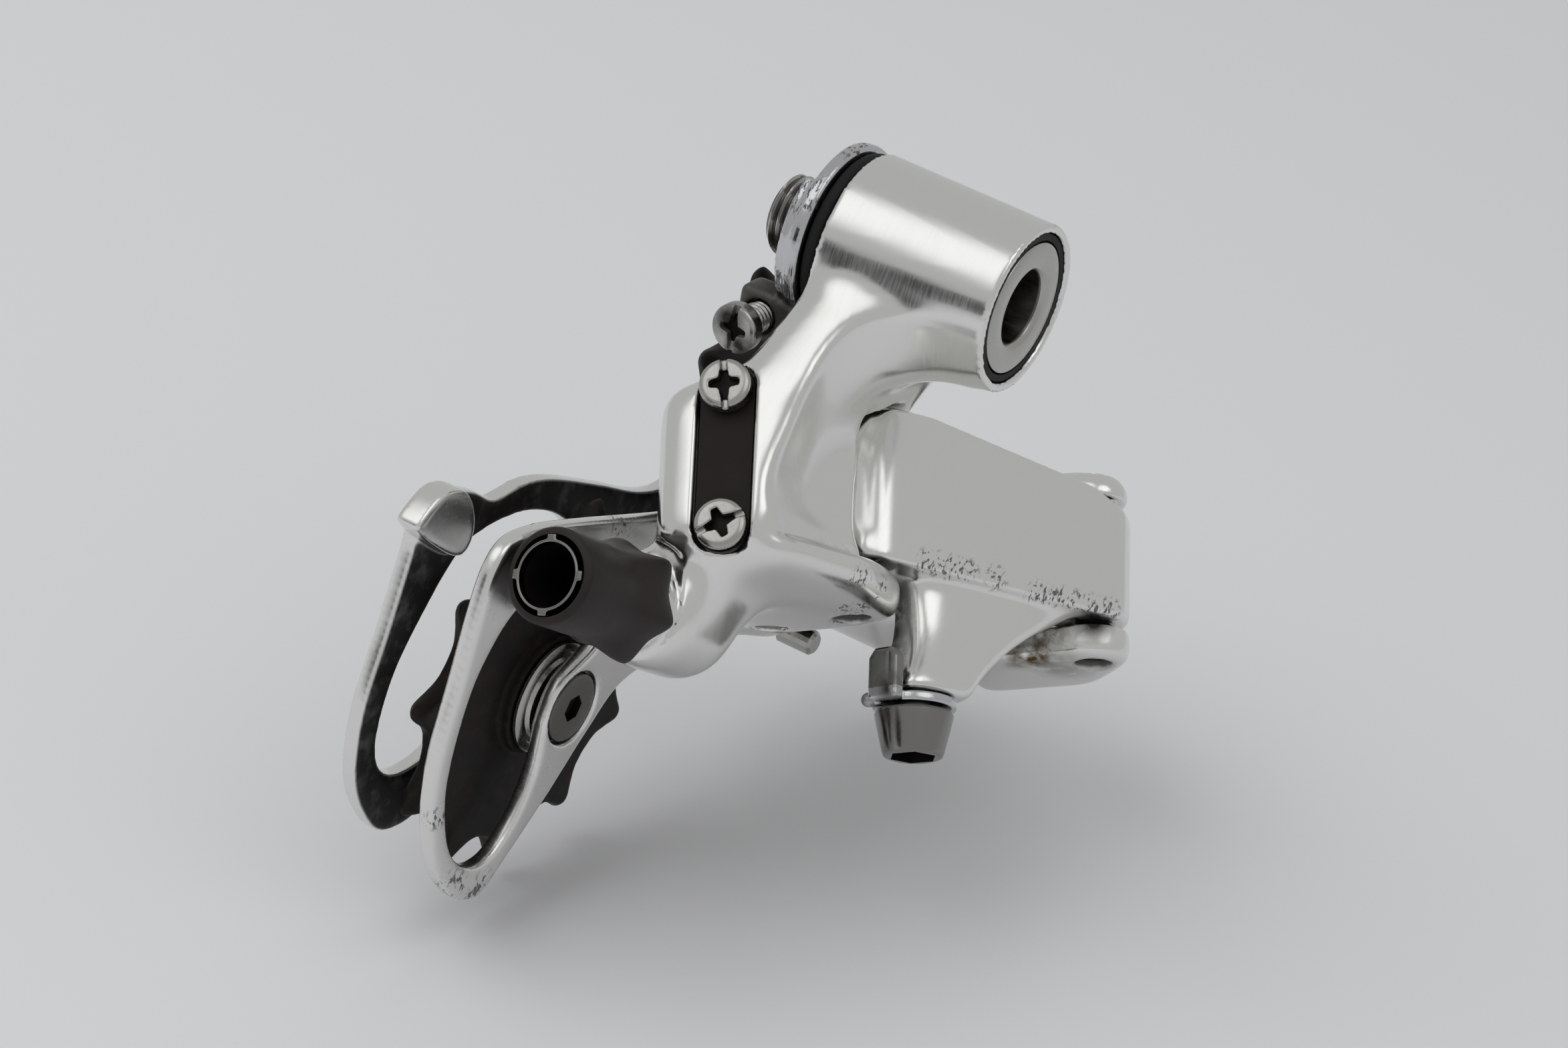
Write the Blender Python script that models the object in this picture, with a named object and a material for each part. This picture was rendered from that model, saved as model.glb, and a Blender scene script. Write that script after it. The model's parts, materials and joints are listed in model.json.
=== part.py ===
"""Rear bicycle derailleur with a slanted parallelogram, at rest outboard and with no chain.

Sizes are in millimetres and degrees, and MM turns millimetres into metres as a mesh is made.
The origin is on the hanger bolt's axis at the hanger face. +X points outboard along the bolt,
+Y forward and +Z up. The linkage has a frame of its own: its x points outboard square to the
pins, its y forward and its z up along the pins, from the low end of the outer upper pin.
"""
import math

import bmesh
import bpy
from mathutils import Matrix, Vector

MM = 0.001

# Clearances and mesh fineness
RUN_GAP = 0.3
SEAL_GAP = 0.15
COIL_GAP = 0.8
BORE_OVERRUN = 2.0
ROUND_SIDES = 32
SMALL_SIDES = 16
SMALL_BALL = 1.5

# Hanger bolt, stop plate and barrel, measured along the bolt from the hanger face
THREAD_RADIUS = 5.0
THREAD_PITCH = 1.0
THREAD_TURNS = 6
THREAD_DEPTH = 0.55
BOLT_RADIUS = 5.6
BOLT_HEAD_RADIUS = 8.0
BOLT_HEAD_HEIGHT = 1.5
BOLT_HEAD_SUNK = 0.25
BOLT_SOCKET_RADIUS = 4.4
BOLT_SOCKET_DEPTH = 8.0
BOLT_HEX_FLATS = 6.0
BOLT_HEX_DEPTH = 5.0
THREAD_TIP = 0.8
CHAMFER = 0.4
STOP_PLATE_RADIUS = 11.1
STOP_PLATE_THICKNESS = 1.8
STOP_LIP_HEIGHT = 1.3
STOP_LIP_WIDTH = 2.6
STOP_LIP_FROM = 128.0
STOP_LIP_TO = 222.0
INNER_SEAL_THICKNESS = 1.6
INNER_SEAL_EDGE = 0.5
INNER_SEAL_RADIUS = 10.5
BARREL_LENGTH = 22.5
BARREL_INNER_END_RADIUS = 10.8
BARREL_OUTER_END_RADIUS = 10.05
BUSHING_WALL = 1.0
B_SPRING_WIRE = 0.6
B_SPRING_TURNS = 4
B_SPRING_LENGTH = 9.5
OUTER_SEAL_WIDTH = 0.8

# B-tension screw, along Y through the stop plate's ear
B_SCREW_HEAD = (-3.0, -14.7, -9.5)
B_SCREW_LENGTH = 14.0
B_SCREW_EAR_START = 5.6
B_SCREW_EAR_DEPTH = 4.4
B_SCREW_EAR_HALF = 3.2
B_SCREW_EAR_EDGE = 1.0
SCREW_HEAD_RADIUS = 3.0
SCREW_HEAD_HEIGHT = 2.2
SCREW_RADIUS = 1.9
SCREW_SLOT_WIDTH = 1.0
SCREW_SLOT_DEPTH = 1.1

# Parallelogram: pin direction, outer upper pin and link
PIN_AXIS = (-0.4516, 0.5706, 0.6859)
OUTER_UPPER_PIN_FOOT = (17.6, -11.7, -39.1)
LINK_LENGTH = 35.7
LINK_REST_ANGLE = 50.65
INNER_PIN_OFFSET = (-11.0, 2.5)
PIN_RADIUS = 2.0
PIN_SUNK = 1.0
LINK_BASE = 4.9
LINK_TOP_UPPER = 24.3
LINK_TOP_LOWER = 19.2
EAR_GAP = 0.5
LINK_EAR_RADIUS = 4.5
PANEL_FACE = 6.0
PANEL_THICKNESS = 2.4
PANEL_EDGE_RADIUS = 0.8
PANEL_OVERHANG = 2.2
PANEL_ROLL_RADIUS = 4.0
PANEL_SHOULDER = 7.0
PANEL_TOP_BREAK = (31.0, 20.9)
PANEL_END = 0.6
PANEL_END_CHAMFER = 2.0
FLANGE_DEPTH = 3.0
FLANGE_HEIGHT = 2.0
EAR_WEB = 6.0
FOOT_THICKNESS = 5.2
UPPER_EAR_THICKNESS = 5.0
KNUCKLE_EAR_RADIUS = 5.9
INNER_EAR_RADIUS = 4.0
LOWER_EAR_RADIUS = 4.7
LOWER_EAR_THICKNESS = 4.2
LOWER_EAR_GAP = 1.4
LOWER_FOOT_DROP = 0.4
INNER_LINK_HALF = 2.2
INNER_LINK_WEB = 8.0
RETURN_SPRING_WIRE = 0.55
RETURN_SPRING_RADIUS = 3.2
RETURN_SPRING_TURNS = 5
RETURN_SPRING_LENGTH = 10.5

# Cable clamp under the outer link, in the link's frame
CLAMP_PLACE = (8.6, -1.0)
CLAMP_FACE = -9.4
CLAMP_WASHER_RADIUS = 5.0
CLAMP_WASHER_THICKNESS = 1.2
CLAMP_TAB_HEIGHT = 4.6
CLAMP_TAB_WIDTH = 3.4
CLAMP_TAB_THICKNESS = 1.3
CLAMP_TAB_TURN = 20.0
CLAMP_BOLT_RADIUS = 2.4
CLAMP_BOLT_LENGTH = 9.0
CLAMP_HEAD_TOP_RADIUS = 4.7
CLAMP_HEAD_END_RADIUS = 3.7
CLAMP_HEAD_HEIGHT = 5.4
CLAMP_HEX_FLATS = 5.0
CLAMP_HEX_DEPTH = 3.0

# Limit screws and their slot on the block's rear face, in the linkage frame
SLOT_MIDDLE = (-7.2, -26.9, 10.6)
SLOT_TURN = 6.7
SCREW_SPACING = 16.2
SLOT_HALF_WIDTH = 3.4
SLOT_DEPTH = 2.0
LIMIT_PLATE_THICKNESS = 0.8
UPPER_SCREW_PROUD = 1.0
LIMIT_HEAD_SUNK = 1.0
LIMIT_SCREW_LENGTH = 13.0

# Cable adjuster: base centre, outward axis and sizes along it
ADJUSTER_BASE = (3.9, -37.8, -34.2)
ADJUSTER_AXIS = (-0.136, -0.858, 0.496)
ADJUSTER_LENGTH = 17.9
ADJUSTER_SKIRT = 2.0
ADJUSTER_WAIST = 6.5
ADJUSTER_NECK = 9.5
ADJUSTER_BASE_RADIUS = 7.2
ADJUSTER_WAIST_RADIUS = 6.0
ADJUSTER_MOUTH_RADIUS = 5.5
ADJUSTER_LOBES = 6
ADJUSTER_LOBE_DEPTH = 0.45
ADJUSTER_BORE = 4.6
ADJUSTER_WEB_START = 4.4
ADJUSTER_WEB_END = 6.0
ADJUSTER_BOSS_RADIUS = 7.0
STUD_RADIUS = 2.8
STUD_BORE = 1.6
STUD_DEPTH = 8.0
SLEEVE_WALL = 0.7
SLEEVE_PROUD = 0.5
SLEEVE_NOTCH_DEPTH = 0.9
SLEEVE_NOTCH_HALF = 1.6
SLEEVE_NOTCH_TURN = 20.0
ADJUSTER_SPRING_WIRE = 0.4
ADJUSTER_SPRING_TURNS = 2

# Cage: axle place, depth along X and pulleys
CAGE_AXLE = (22.0, -53.0)
GUIDE_PULLEY = (13.7, -31.9)
TENSION_PULLEY = (-34.2, -53.5)
PULLEY_PLANE = -11.0
CAGE_PLATE_THICKNESS = 2.2
CAGE_HALF_GAP = 4.4
CAGE_EDGE_BEVEL = 0.6
PULLEY_TEETH = 11
PULLEY_PITCH = 12.7
PULLEY_TOOTH_HEIGHT = 1.2
PULLEY_TIP_BEVEL = 1.4
PULLEY_ROOT_DROP = 3.4
GUIDE_TOOTH_ANGLE = 114.0
TENSION_TOOTH_ANGLE = 165.0
PULLEY_RIM_THICKNESS = 2.6
PULLEY_HUB_RADIUS = 7.6
PULLEY_HUB_THICKNESS = 5.4
PULLEY_BORE = 3.6
PULLEY_BUSHING_WALL = 0.8
CAP_RADIUS = 7.0
CAP_THICKNESS = 1.0
CAP_SLOPE = 2.0
PULLEY_BOLT_RADIUS = 2.3
PULLEY_BOLT_HEAD_RADIUS = 4.4
PULLEY_BOLT_HEAD_HEIGHT = 1.2
PULLEY_BOLT_SUNK = 0.1
PULLEY_BOLT_END_SUNK = 0.2
PULLEY_HEX_FLATS = 3.0
PULLEY_HEX_DEPTH = 0.9
CHAIN_PAD_HEIGHT = 1.8

# Cage axle, its spring and the lower casting's housing
HOUSING_INNER_END = -3.2
HOUSING_OUTER_END = 10.0
HOUSING_RADIUS = 9.5
HOUSING_WALL = 2.0
HOUSING_END_WALL = 3.0
SPINE_PLACES = ((-3.0, 9.2), (-16.0, 10.5))
SPINE_RADIUS = 2.2
BRIDGE_PLACE = (-15.0, 11.0)
BRIDGE_RADIUS = 3.0
BRIDGE_INSET = 2.0
DOME_PLACE = (-0.6, 0.6)
DOME_RADIUS = 2.6
DOME_HEIGHT = 2.0
DOME_SLOPE = 0.3
CAGE_AXLE_RADIUS = 4.0
CAGE_AXLE_FLANGE_RADIUS = 6.0
CAGE_AXLE_FLANGE_HEIGHT = 1.4
CAGE_SPRING_WIRE = 0.75
CAGE_SPRING_TURNS = 3
CAGE_SEAL_RADIUS = 8.8
STOP_PIN_RADIUS = 1.7
STOP_PIN_REACH = 12.4
STOP_PIN_ANGLE = 250.0
STOP_PIN_LENGTH = 3.2

# Fineness of the castings
CASTING_VOXEL = 0.75
CASTING_BLENDING = 20
CASTING_SMOOTHING = 8
CASTING_SPARE = 1.0
BARREL_SPARE = 5.0
BARREL_SWELL = 0.15
UPPER_CASTING_SHARE = 0.05
OUTER_LINK_SHARE = 0.05
LOWER_CASTING_SHARE = 0.025

# Finishes: colour, roughness and metallic value
FINISHES = {
    "polished_aluminium": ((0.80, 0.80, 0.80), 0.22, 1.0),
    "chromed_steel": ((0.62, 0.63, 0.64), 0.12, 1.0),
    "bright_steel": ((0.50, 0.50, 0.50), 0.32, 1.0),
    "dark_steel": ((0.16, 0.15, 0.14), 0.40, 1.0),
    "black_rubber": ((0.012, 0.012, 0.012), 0.70, 0.0),
    "black_plate": ((0.022, 0.018, 0.016), 0.50, 0.0),
    "grey_brown_plastic": ((0.045, 0.040, 0.038), 0.45, 0.0),
    "pulley_resin": ((0.020, 0.016, 0.014), 0.55, 0.0),
    "spring_steel": ((0.30, 0.30, 0.30), 0.35, 1.0),
    "bronze": ((0.45, 0.30, 0.14), 0.40, 1.0),
}


def place_frame(origin, z_axis, x_hint):
    """A frame with its z along z_axis and its x as near to x_hint as it can be."""
    z = Vector(z_axis).normalized()
    x = (Vector(x_hint) - z * Vector(x_hint).dot(z)).normalized()
    turn = Matrix((x, z.cross(x), z)).transposed().to_4x4()
    return Matrix.Translation(Vector(origin)) @ turn


# Frames in millimetres: the bolt's z is world X, its x world Y and its y world Z
BOLT_FRAME = place_frame((0, 0, 0), (1, 0, 0), (0, 1, 0))
LINKAGE = place_frame(OUTER_UPPER_PIN_FOOT, PIN_AXIS, (1, 0, 0))
LINK_TURN = Matrix.Rotation(math.radians(LINK_REST_ANGLE), 4, "Z")
OUTER_LINK_FRAME = LINKAGE @ LINK_TURN
INNER_LINK_FRAME = LINKAGE @ Matrix.Translation((*INNER_PIN_OFFSET, 0)) @ LINK_TURN
LINK_STEP = LINK_TURN @ Vector((LINK_LENGTH, 0, 0))
LOWER_FRAME = LINKAGE @ Matrix.Translation(LINK_STEP)
SLOT_NORMAL = Matrix.Rotation(math.radians(SLOT_TURN), 4, "Z") @ Vector((0, -1, 0))
SLOT_FRAME = LINKAGE @ place_frame(SLOT_MIDDLE, SLOT_NORMAL, (0, 0, 1))
ADJUSTER_FRAME = place_frame(ADJUSTER_BASE, ADJUSTER_AXIS, (1, 0, 0))
B_SCREW_FRAME = place_frame(B_SCREW_HEAD, (0, -1, 0), (0, 0, 1))


def cage_frame(place):
    """A frame like the bolt's, on an axis at this Y and Z."""
    return Matrix.Translation((0, *place)) @ BOLT_FRAME


CAGE_FRAME = cage_frame(CAGE_AXLE)

# Places that follow from the sizes above
BARREL_START = STOP_PLATE_THICKNESS + INNER_SEAL_THICKNESS + 2 * SEAL_GAP
BARREL_END = BARREL_START + BARREL_LENGTH
BUSHING_RADIUS = BOLT_RADIUS + RUN_GAP + BUSHING_WALL
B_SPRING_RADIUS = BUSHING_RADIUS + COIL_GAP + B_SPRING_WIRE
SPRING_POCKET_RADIUS = B_SPRING_RADIUS + B_SPRING_WIRE + RUN_GAP
HEAD_BORE_RADIUS = BOLT_HEAD_RADIUS + OUTER_SEAL_WIDTH + 2 * SEAL_GAP
HEAD_FACE = BARREL_END - BOLT_HEAD_SUNK
HEAD_BACK = HEAD_FACE - BOLT_HEAD_HEIGHT
PIN_BORE = PIN_RADIUS + RUN_GAP
FOOT_TOP = LINK_BASE - EAR_GAP
FOOT_BOTTOM = FOOT_TOP - FOOT_THICKNESS
UPPER_EAR_BASE = LINK_TOP_UPPER + EAR_GAP
UPPER_EAR_TOP = UPPER_EAR_BASE + UPPER_EAR_THICKNESS
LOWER_EAR_BASE = LINK_TOP_LOWER + LOWER_EAR_GAP
LOWER_EAR_TOP = LOWER_EAR_BASE + LOWER_EAR_THICKNESS
LOWER_FOOT_TOP = FOOT_TOP - LOWER_FOOT_DROP
LOWER_FOOT_BOTTOM = LOWER_FOOT_TOP - LOWER_EAR_THICKNESS
OUTER_PLATE_FACE = PULLEY_PLANE + CAGE_HALF_GAP + CAGE_PLATE_THICKNESS
OUTER_PLATE_BACK = PULLEY_PLANE + CAGE_HALF_GAP
INNER_PLATE_FACE = PULLEY_PLANE - CAGE_HALF_GAP
INNER_PLATE_BACK = INNER_PLATE_FACE - CAGE_PLATE_THICKNESS


def rebase(points, source, target):
    """Points of one frame in the coordinates of another."""
    change = target.inverted() @ source
    return [change @ point for point in points]


def ball(x, y, z, radius):
    """Points of a ball, for a rounded hull; a small one has fewer points."""
    bm = bmesh.new()
    bmesh.ops.create_icosphere(bm, subdivisions=2 if radius > SMALL_BALL else 1, radius=radius)
    points = [vert.co + Vector((x, y, z)) for vert in bm.verts]
    bm.free()
    return points


def drum(x, y, low, high, radius, sides=ROUND_SIDES):
    """Points of a drum standing along z, for a hull."""
    rim = [(radius * math.cos(math.tau * i / sides), radius * math.sin(math.tau * i / sides))
           for i in range(sides)]
    return [Vector((x + u, y + v, height)) for u, v in rim for height in (low, high)]


def hull(*groups):
    """The convex body round all the points."""
    bm = bmesh.new()
    for group in groups:
        for point in group:
            bm.verts.new(point)
    result = bmesh.ops.convex_hull(bm, input=bm.verts)
    loose = [item for item in result["geom_interior"] if isinstance(item, bmesh.types.BMVert)]
    bmesh.ops.delete(bm, geom=loose, context="VERTS")
    return bm


def turned(profile, sides=ROUND_SIDES, lobes=0):
    """A turned body from (radius, height) points, with an optional lobe depth as third value."""
    bm = bmesh.new()
    rings = []
    for radius, height, *lobe in profile:
        ring = []
        for i in range(sides if radius else 1):
            angle = math.tau * i / sides
            reach = radius + (lobe[0] * math.cos(lobes * angle) if lobe else 0)
            ring.append(bm.verts.new((reach * math.cos(angle), reach * math.sin(angle), height)))
        rings.append(ring)
    spans = list(zip(rings, rings[1:]))
    if profile[0][0]:
        spans.append((rings[-1], rings[0]))
    for low, high in spans:
        for i in range(sides):
            j = (i + 1) % sides
            corners = [low[i % len(low)], low[j % len(low)], high[j % len(high)], high[i % len(high)]]
            corners = list(dict.fromkeys(corners))
            if len(corners) > 2:
                bm.faces.new(corners)
    return bm


def tube(inner, outer, low, high, sides=ROUND_SIDES):
    """A plain tube along z."""
    return turned([(outer, low), (outer, high), (inner, high), (inner, low)], sides)


def rod(radius, low, high, sides=ROUND_SIDES):
    """A plain rod along z."""
    return turned([(0, low), (radius, low), (radius, high), (0, high)], sides)


def prism(outline, low, high):
    """An outline raised along z."""
    bm = bmesh.new()
    face = bm.faces.new([bm.verts.new((u, v, low)) for u, v in outline])
    raised = bmesh.ops.extrude_face_region(bm, geom=[face])
    verts = [item for item in raised["geom"] if isinstance(item, bmesh.types.BMVert)]
    bmesh.ops.translate(bm, vec=(0, 0, high - low), verts=verts)
    return bm


def loft(sections):
    """A body through outlines with equal counts of points, from the first to the last."""
    bm = bmesh.new()
    rings = [[bm.verts.new(point) for point in section] for section in sections]
    for low, high in zip(rings, rings[1:]):
        for i in range(len(low)):
            j = (i + 1) % len(low)
            bm.faces.new((low[i], low[j], high[j], high[i]))
    bm.faces.new(rings[0])
    bm.faces.new(rings[-1])
    return bm


def box(low, high):
    """A plain block between two corners."""
    outline = [(low[0], low[1]), (high[0], low[1]), (high[0], high[1]), (low[0], high[1])]
    return prism(outline, low[2], high[2])


def hexagon(flats):
    """The outline of a hexagon of this width across flats."""
    reach = flats / math.sqrt(3)
    return [(reach * math.cos(math.tau * i / 6), reach * math.sin(math.tau * i / 6)) for i in range(6)]


def stadium(half_length, radius, steps=10):
    """A slot's outline along x with round ends."""
    points = []
    for side in (1, -1):
        for i in range(steps + 1):
            angle = math.pi * (i / steps - 0.5)
            points.append((side * (half_length + radius * math.cos(angle)),
                           side * radius * math.sin(angle)))
    return points


def smooth_loop(points, steps=3):
    """A closed smooth curve through a few points."""
    curve = []
    count = len(points)
    for i in range(count):
        before, start, end, after = (Vector(points[(i + k) % count]) for k in (-1, 0, 1, 2))
        for step in range(steps):
            t = step / steps
            curve.append(0.5 * (2 * start + (end - before) * t
                                + (2 * before - 5 * start + 4 * end - after) * t ** 2
                                + (3 * start - before - 3 * end + after) * t ** 3))
    return [(point.x, point.y) for point in curve]


def merged(*bodies):
    """Several bodies in one mesh, to be joined by a remesh or a union."""
    whole = bmesh.new()
    for body in bodies:
        part = bpy.data.meshes.new("part")
        body.to_mesh(part)
        body.free()
        whole.from_mesh(part)
        bpy.data.meshes.remove(part)
    return whole


def moved(bm, matrix):
    """A body carried from one frame into another."""
    bmesh.ops.transform(bm, matrix=matrix, verts=bm.verts)
    return bm


def finish(name):
    """The material of this name, made once."""
    material = bpy.data.materials.get(name)
    if material is None:
        colour, roughness, metallic = FINISHES[name]
        material = bpy.data.materials.new(name)
        material.use_nodes = True
        shader = material.node_tree.nodes["Principled BSDF"]
        shader.inputs["Base Color"].default_value = (*colour, 1)
        shader.inputs["Roughness"].default_value = roughness
        shader.inputs["Metallic"].default_value = metallic
    return material


def pivot(name, frame):
    """An empty on a joint's axis, which carries the pieces that turn there."""
    empty = bpy.data.objects.new(name, None)
    metres = frame.copy()
    metres.translation *= MM
    empty.matrix_world = metres
    empty.empty_display_size = 5 * MM
    bpy.context.collection.objects.link(empty)
    return empty


def piece(name, bm, carrier, finish_name=None):
    """An object from a body in its carrier's frame; one with no finish is a cutter."""
    bmesh.ops.recalc_face_normals(bm, faces=bm.faces)
    bmesh.ops.scale(bm, vec=(MM, MM, MM), verts=bm.verts)
    mesh = bpy.data.meshes.new(name)
    bm.to_mesh(mesh)
    bm.free()
    mesh.shade_smooth()
    mesh.set_sharp_from_angle(angle=math.radians(35))
    obj = bpy.data.objects.new(name, mesh)
    bpy.context.collection.objects.link(obj)
    obj.parent = carrier
    if finish_name:
        mesh.materials.append(finish(finish_name))
    else:
        obj.hide_render = True
        obj.display_type = "WIRE"
    return obj


def combine(obj, bm, operation, carrier=None):
    """Cut a body from an object, or join one to it."""
    tool = piece(f"{obj.name}_{operation.lower()}_{len(obj.modifiers)}", bm, carrier or obj.parent)
    boolean = obj.modifiers.new(operation.title(), "BOOLEAN")
    boolean.operation = operation
    boolean.object = tool
    return obj


def cut(obj, bm, carrier=None):
    return combine(obj, bm, "DIFFERENCE", carrier)


def join(obj, bm, carrier=None):
    return combine(obj, bm, "UNION", carrier)


def remesh(obj, rounds):
    """Melt overlapping bodies into one skin, and round it."""
    skin = obj.modifiers.new("Skin", "REMESH")
    skin.mode = "VOXEL"
    skin.voxel_size = CASTING_VOXEL * MM
    skin.use_smooth_shade = True
    rounding = obj.modifiers.new("Rounding", "SMOOTH")
    rounding.iterations = rounds
    rounding.factor = 0.5


def cast(obj, share, hollow=None):
    """Melt a casting's limbs together, scoop its hollow, round its edges and thin its mesh."""
    if hollow:
        remesh(obj, CASTING_BLENDING)
        cut(obj, hollow)
    remesh(obj, CASTING_SMOOTHING)
    thinning = obj.modifiers.new("Thinning", "DECIMATE")
    thinning.ratio = share
    return obj


def coil(name, carrier, radius, wire, start, length, turns, finish_name="spring_steel"):
    """A round-wire spring along z; its least gap between turns is printed."""
    per_turn = 9
    points = []
    for i in range(turns * per_turn + 1):
        angle = math.tau * i / per_turn
        points.append(Vector((radius * math.cos(angle), radius * math.sin(angle),
                              start + wire + (length - 2 * wire) * i / (turns * per_turn))))
    steps = [(later - point).length for point, later in zip(points, points[per_turn:])]
    gap = min(steps) - 2 * wire
    print(f"{name} least gap between turns {gap:.2f} mm")
    curve = bpy.data.curves.new(name, "CURVE")
    curve.dimensions = "3D"
    curve.bevel_depth = wire * MM
    curve.bevel_resolution = 1
    curve.use_fill_caps = True
    spline = curve.splines.new("POLY")
    spline.points.add(len(points) - 1)
    for spot, point in zip(spline.points, points):
        spot.co = (*(point * MM), 1)
    curve.materials.append(finish(finish_name))
    obj = bpy.data.objects.new(name, curve)
    bpy.context.collection.objects.link(obj)
    obj.parent = carrier
    return obj


def screw(name, carrier, head_base, head_top, tip, finish_name):
    """A pan-head screw along z with a cross slot."""
    edge = SCREW_HEAD_RADIUS - CHAMFER
    body = turned([(0, tip), (SCREW_RADIUS - CHAMFER, tip), (SCREW_RADIUS, tip + CHAMFER),
                   (SCREW_RADIUS, head_base), (SCREW_HEAD_RADIUS, head_base),
                   (SCREW_HEAD_RADIUS, head_top - CHAMFER), (edge, head_top), (0, head_top)],
                  SMALL_SIDES)
    obj = piece(name, body, carrier, finish_name)
    half = SCREW_SLOT_WIDTH / 2
    for reach_x, reach_y in ((2 * SCREW_HEAD_RADIUS, half), (half, 0.6 * SCREW_HEAD_RADIUS)):
        cut(obj, box((-reach_x, -reach_y, head_top - SCREW_SLOT_DEPTH),
                     (reach_x, reach_y, head_top + BORE_OVERRUN)))
    return obj


def make_hanger(hanger):
    """Bolt, stop plate and B-tension screw: what stays with the frame's hanger."""
    profile = [(0, -THREAD_TURNS * THREAD_PITCH - THREAD_TIP),
               (THREAD_RADIUS - THREAD_DEPTH, -THREAD_TURNS * THREAD_PITCH - THREAD_TIP)]
    for turn in range(THREAD_TURNS, 0, -1):
        profile.append((THREAD_RADIUS, (0.5 - turn) * THREAD_PITCH))
        profile.append((THREAD_RADIUS - THREAD_DEPTH, (1 - turn) * THREAD_PITCH))
    profile += [(BOLT_RADIUS, 0), (BOLT_RADIUS, HEAD_BACK), (BOLT_HEAD_RADIUS, HEAD_BACK),
                (BOLT_HEAD_RADIUS, HEAD_FACE - CHAMFER), (BOLT_HEAD_RADIUS - CHAMFER, HEAD_FACE),
                (BOLT_SOCKET_RADIUS + CHAMFER, HEAD_FACE), (BOLT_SOCKET_RADIUS, HEAD_FACE - CHAMFER),
                (BOLT_SOCKET_RADIUS, HEAD_FACE - BOLT_SOCKET_DEPTH), (0, HEAD_FACE - BOLT_SOCKET_DEPTH)]
    bolt = piece("mount_bolt", turned(profile, 22), hanger, "bright_steel")
    cut(bolt, prism(hexagon(BOLT_HEX_FLATS), HEAD_FACE - BOLT_SOCKET_DEPTH - BOLT_HEX_DEPTH,
                    HEAD_FACE - BOLT_SOCKET_DEPTH + CHAMFER))

    plate = piece("stop_plate", tube(BOLT_RADIUS + RUN_GAP, STOP_PLATE_RADIUS, 0, STOP_PLATE_THICKNESS),
                  hanger, "chromed_steel")
    lip = []
    for radius, angles in ((STOP_PLATE_RADIUS - CHAMFER, (STOP_LIP_FROM, STOP_LIP_TO)),
                           (STOP_PLATE_RADIUS - STOP_LIP_WIDTH, (STOP_LIP_TO, STOP_LIP_FROM))):
        for i in range(13):
            angle = math.radians(angles[0] + (angles[1] - angles[0]) * i / 12)
            lip.append((radius * math.cos(angle), radius * math.sin(angle)))
    join(plate, prism(lip, -STOP_LIP_HEIGHT, STOP_PLATE_THICKNESS / 2))
    ear_x, ear_y, ear_z = B_SCREW_HEAD
    edge = B_SCREW_EAR_EDGE
    ear_start = ear_y + B_SCREW_EAR_START + edge
    ear_half = B_SCREW_EAR_HALF - edge
    join(plate, hull(*(ball(y, z, x, edge)
                       for y in (ear_start, ear_start + B_SCREW_EAR_DEPTH - 2 * edge)
                       for z in (ear_z - ear_half, ear_z + ear_half)
                       for x in (ear_x - ear_half, STOP_PLATE_THICKNESS - edge))))
    b_screw_turn = pivot("b_screw_axis", B_SCREW_FRAME)
    cut(plate, rod(SCREW_RADIUS + RUN_GAP, -B_SCREW_LENGTH, SCREW_HEAD_HEIGHT, SMALL_SIDES),
        b_screw_turn)
    screw("b_tension_screw", b_screw_turn, -SCREW_HEAD_HEIGHT, 0, -B_SCREW_LENGTH, "bright_steel")


def make_b_pivot(upper):
    """What sits on the hanger bolt inside the barrel."""
    seal_low = STOP_PLATE_THICKNESS + SEAL_GAP
    seal_high = BARREL_START - SEAL_GAP
    edge = INNER_SEAL_EDGE
    seal = [(INNER_SEAL_RADIUS - edge, seal_low), (INNER_SEAL_RADIUS, seal_low + edge),
            (INNER_SEAL_RADIUS, seal_high - edge), (INNER_SEAL_RADIUS - edge, seal_high),
            (BUSHING_RADIUS + RUN_GAP, seal_high), (BUSHING_RADIUS + RUN_GAP, seal_low)]
    piece("b_seal_inner", turned(seal, 28), upper, "black_rubber")
    bushing = tube(BOLT_RADIUS + RUN_GAP, BUSHING_RADIUS, seal_low, HEAD_BACK - RUN_GAP, SMALL_SIDES)
    piece("b_bushing", bushing, upper, "bronze")
    coil("b_spring", upper, B_SPRING_RADIUS, B_SPRING_WIRE, BARREL_START + RUN_GAP,
         B_SPRING_LENGTH, B_SPRING_TURNS)
    piece("b_seal_outer", tube(BOLT_HEAD_RADIUS + SEAL_GAP, HEAD_BORE_RADIUS - SEAL_GAP,
                               HEAD_BACK + SEAL_GAP, HEAD_FACE - SEAL_GAP), upper, "black_rubber")


# Scoop outboard of the block and under the barrel, as linkage x and z: at the rear ridge,
# halfway, and by the link
RIDGE_SECTION = [
    (-1.4, 1.6), (-2.3, 4.5), (-1.6, 8.0), (0.2, 13.0), (2.6, 19.0), (5.2, 24.2), (8.6, 27.6),
    (13.0, 28.5), (20.0, 26.0), (30.0, 21.0), (44.0, 14.0), (44.0, 0.8)]
HOLLOW_SECTION = [
    (1.6, 2.6), (-0.4, 4.4), (-1.0, 8.0), (-0.6, 12.5), (0.7, 16.6), (3.0, 19.6), (6.6, 21.7),
    (11.5, 22.4), (17.0, 21.4), (25.0, 17.6), (44.0, 9.0), (44.0, 2.4)]
WALL_SECTION = [
    (4.6, 4.0), (3.2, 5.2), (2.9, 8.0), (2.9, 13.0), (3.2, 18.0), (4.2, 22.0), (6.6, 24.8),
    (10.5, 26.4), (15.5, 25.6), (23.0, 22.0), (44.0, 12.5), (44.0, 4.0)]
SCOOP_DEPTHS = ((-34.0, RIDGE_SECTION), (-27.0, RIDGE_SECTION), (-16.0, HOLLOW_SECTION),
                (-5.0, WALL_SECTION), (8.0, WALL_SECTION))

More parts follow.
